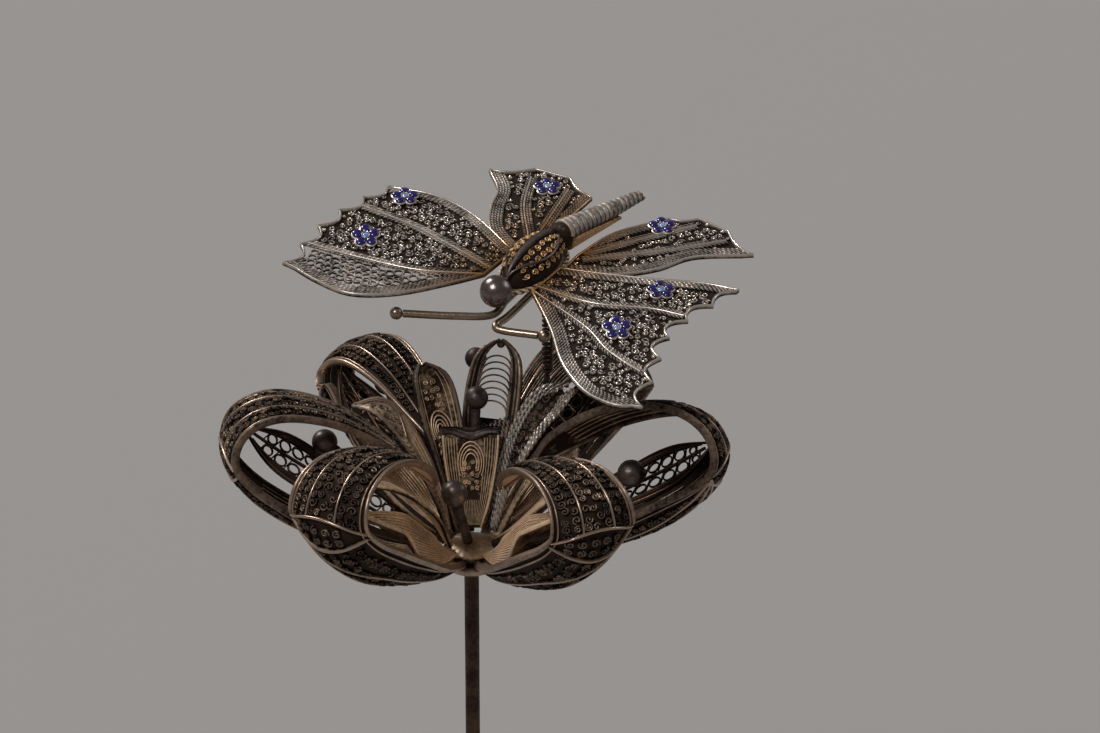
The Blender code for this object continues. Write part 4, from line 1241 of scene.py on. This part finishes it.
def wing_outline(wing):
    """Leading edge, scalloped outer edge and trailing edge as one closed outline."""
    outline = list(curve(wing["leading"], 24))[:-1]
    for share in np.arange(wing["scallops"] * 8) / (wing["scallops"] * 8):
        dip = wing["depth"] * (0.5 - abs(math.sin(math.pi * wing["scallops"] * share)))
        ahead = smooth(wing["outer"], share + 0.02) - smooth(wing["outer"], share - 0.02)
        ahead = ahead / np.linalg.norm(ahead)
        outline.append(smooth(wing["outer"], share) + np.array([ahead[1], -ahead[0]]) * dip)
    outline.extend(curve(wing["trailing"], 18))
    return np.array(outline)


def rope_rows(work, surface, outline, path, distances, drawn):
    """Twisted wires beside a path, cut off where they leave the wing or meet another row."""
    for distance in distances:
        row = evenly(beside(path, distance), 0.3)
        keep = within(row, outline) & (nearest(row, outline, True) > 0.2)
        for other in drawn:
            keep &= nearest(row, other) > ROPE_SPACE
        for run in runs(keep):
            rope(work, surface, row[run], 0.13, 0.05, 0.62)
            drawn.append(row[run])


def cut_off(outline, direction, limit):
    """The part of an outline that lies less than the limit along a direction."""
    kept = []
    for here, ahead in zip(outline, np.roll(outline, -1, axis=0)):
        first, second = here @ direction - limit, ahead @ direction - limit
        if first < 0:
            kept.append(here)
        if first * second < 0:
            kept.append(here + (ahead - here) * first / (first - second))
    return np.array(kept)


def make_wing(name):
    wing = WINGS[name]
    surface = wing_surface(wing["side"], -HINDWING_DROP if name.startswith("hindwing") else 0.0)
    outline = wing_outline(wing)
    half = WING_THICKNESS / 2
    inset = outline - sideways(outline, True) * (WING_RIM / 2)
    if not within(inset[5:6], outline)[0]:
        inset = outline + sideways(outline, True) * (WING_RIM / 2)
    work = Work()
    strip(work, surface, inset, WING_RIM, -half, half + 0.06, closed=True, shine=0.9)
    ribs = [curve(points, 40) for points in wing["ribs"]]
    for rib in ribs:
        for run in runs(within(rib, outline)):
            strip(work, surface, rib[run], 0.2, -half * 0.8, half + 0.08, shine=0.95)
    # Painted highlight: a raised, fully bare strip that stands for a glint along the left forewing's rib.
    if name == "forewing_left":
        strip(work, surface, curve(PAINTED_GLINT_STRIP, 14), 0.34, half * 0.9, half + 0.16, shine=1.3)
    make_piece(name + "_frame", work, "wing", BUTTERFLY, [name], near_body)

    direction, limit = wing["open_beyond"]
    direction = np.array(direction) / np.linalg.norm(direction)
    back = cut_off(inset, direction, limit)
    work = Work()
    work.add_plate(surface(back, -half * 0.9), surface(back, -half * 0.5), -0.2, -0.3)
    make_piece(name + "_back", work, "wing", BUTTERFLY, gild=near_body)

    rows = []
    for side, distances in (("leading", EDGE_ROPES), ("trailing", EDGE_ROPES[:3])):
        path = curve(wing[side], 60)
        inward = math.copysign(1, (outline.mean(axis=0) - path[30]) @ sideways(path)[30])
        rows.append((path, [inward * distance for distance in distances]))
    rows[1:1] = [(rib, RIB_ROPES) for rib in ribs]
    work = Work()
    drawn = list(ribs)
    for path, distances in rows:
        rope_rows(work, surface, outline, path, distances, drawn)
    make_piece(name + "_twists", work, "wing", BUTTERFLY, gild=near_body)

    work = Work()
    low, high = outline.min(axis=0), outline.max(axis=0)
    centres = np.array([(forward, outward)
                        for row, forward in enumerate(np.arange(low[0], high[0], WING_PITCH * 0.87))
                        for outward in np.arange(low[1] + (row % 2) * WING_PITCH / 2, high[1], WING_PITCH)])
    centres += random.uniform(-0.2, 0.2, centres.shape)
    room = np.where(within(centres, outline), nearest(centres, outline, True) - 0.18, 0.0)
    for row in drawn:
        room = np.minimum(room, nearest(centres, row) - 0.1)
    room = np.minimum(room, random.uniform(0.42, 0.56, len(centres)))
    for place, radius in zip(centres, room):
        if radius <= SMALLEST_RING:
            continue
        if place @ direction > limit:
            ring(work, surface, place, radius, 0.15, -half * 0.6, half * 0.8, 0.5)
        else:
            scroll(work, surface, place, radius, any_turn(), random.uniform(1.0, 1.35), random.choice((-1, 1)),
                   0.11, -half * 0.6, half * random.uniform(0.3, 1.0), random.uniform(0.6, 1.2))
    make_piece(name + "_scrolls", work, "wing", BUTTERFLY, gild=near_body)


def make_enamel_flowers():
    for name, (wing, forward, outward) in ENAMEL_FLOWERS.items():
        drop = HINDWING_DROP if wing.startswith("hindwing") else 0.0
        flat = wing_surface(WINGS[wing]["side"], WING_THICKNESS / 2 + 0.04 - drop)
        centre = np.array([forward, outward])
        foot = flat(centre[None])[0]
        lean = ENAMEL_LEANS[0] if name.endswith("front") else ENAMEL_LEANS[1]

        def surface(points, height):
            found = flat(points, height)
            return found + np.outer(found[:, 1] - foot[1] + 0.8 * ENAMEL_RADIUS, (0.0, 0.0, lean))

        metal, glass, eye = Work(), Work(), Work()
        for angle in np.arange(5) * 2 * math.pi / 5:
            middle = centre + np.array([math.cos(angle), math.sin(angle)]) * (ENAMEL_RADIUS * 0.6)
            button(metal, surface, middle, 0.57, 0.0, ENAMEL_THICKNESS * 0.6, 0.7, 16, (1.0, 1.08), angle)
            button(glass, surface, middle, 0.48, 0.1, ENAMEL_THICKNESS, 0.6, 16, (1.04, 0.98), angle)
        ring(metal, surface, centre, 0.37, 0.09, 0.0, ENAMEL_THICKNESS * 1.1, 0.9, 14)
        button(eye, surface, centre, 0.34, 0.02, ENAMEL_THICKNESS * 1.05)
        make_piece(name + "_petals", glass, "blue", BUTTERFLY, [name])
        make_piece(name + "_rims", metal, "wing", BUTTERFLY)
        make_piece(name + "_eye", eye, "pale", BUTTERFLY)


# ---------------------------------------------------------------- studio

def make_floor():
    level = CAD_BOX[0].z - FLOOR_GAP
    corners = [(x, y, level) for x, y in ((-1, -1), (1, -1), (1, 1), (-1, 1))]
    mesh = bpy.data.meshes.new("studio_floor")
    mesh.from_pydata([(x * FLOOR_REACH, y * FLOOR_REACH, z) for x, y, z in corners], [], [(0, 1, 2, 3)])
    floor = bpy.data.objects.new("studio_floor", mesh)
    bpy.context.scene.collection.objects.link(floor)
    graph = Graph("pale_floor")
    graph.set_surface({"Base Color": FLOOR_COLOUR, "Roughness": 0.9})
    mesh.materials.append(graph.material)


def make_light(name, place, softness, strength):
    """A distant soft lamp that shines from a place towards the origin; softness is its width in degrees."""
    light = bpy.data.lights.new(name, "SUN")
    light.angle = math.radians(softness)
    light.energy = strength
    lamp = bpy.data.objects.new(name, light)
    lamp.location = place
    lamp.rotation_euler = (-Vector(place)).to_track_quat("-Z", "Y").to_euler()
    bpy.context.scene.collection.objects.link(lamp)


def make_world():
    world = bpy.data.worlds.new("studio_air")
    world.use_nodes = True
    background = world.node_tree.nodes["Background"]
    background.inputs["Color"].default_value = AIR_COLOUR
    background.inputs["Strength"].default_value = AIR_STRENGTH
    bpy.context.scene.world = world


def make_camera():
    camera = bpy.data.cameras.new("camera")
    camera.lens = CAMERA_LENS
    camera.clip_start = 0.01
    tilt = math.radians(CAMERA_ELEVATION)
    view = Vector((0.0, math.cos(tilt), -math.sin(tilt)))
    holder = bpy.data.objects.new("camera", camera)
    holder.location = (Vector(CAMERA_AIM) - view * CAMERA_DISTANCE) * MM
    holder.rotation_euler = view.to_track_quat("-Z", "Y").to_euler()
    bpy.context.scene.collection.objects.link(holder)
    bpy.context.scene.camera = holder


bpy.context.scene.view_settings.view_transform = "Standard"
make_camera()
make_world()
make_floor()
for light_name, light_numbers in LIGHTS.items():
    make_light(light_name, *light_numbers)
make_pin()
for make, pieces in ((make_outer_petal, OUTER_PETALS), (make_liner, LINERS), (make_leaf_liner, LEAF_LINERS)):
    for piece_name, piece_numbers in pieces.items():
        make(piece_name, piece_numbers)
for make in (make_broad_petal, make_tall_petal, make_cupped_petal, make_curled_petal, make_twist_edged_petal,
             make_right_petal, make_low_petal):
    make()
for fan_name, fan_azimuth in FANS.items():
    make_fan(fan_name, fan_azimuth)
for make in (make_stamens, make_spring, make_thorax, make_head, make_abdomen, make_antennae):
    make()
for wing_name in WINGS:
    make_wing(wing_name)
make_enamel_flowers()
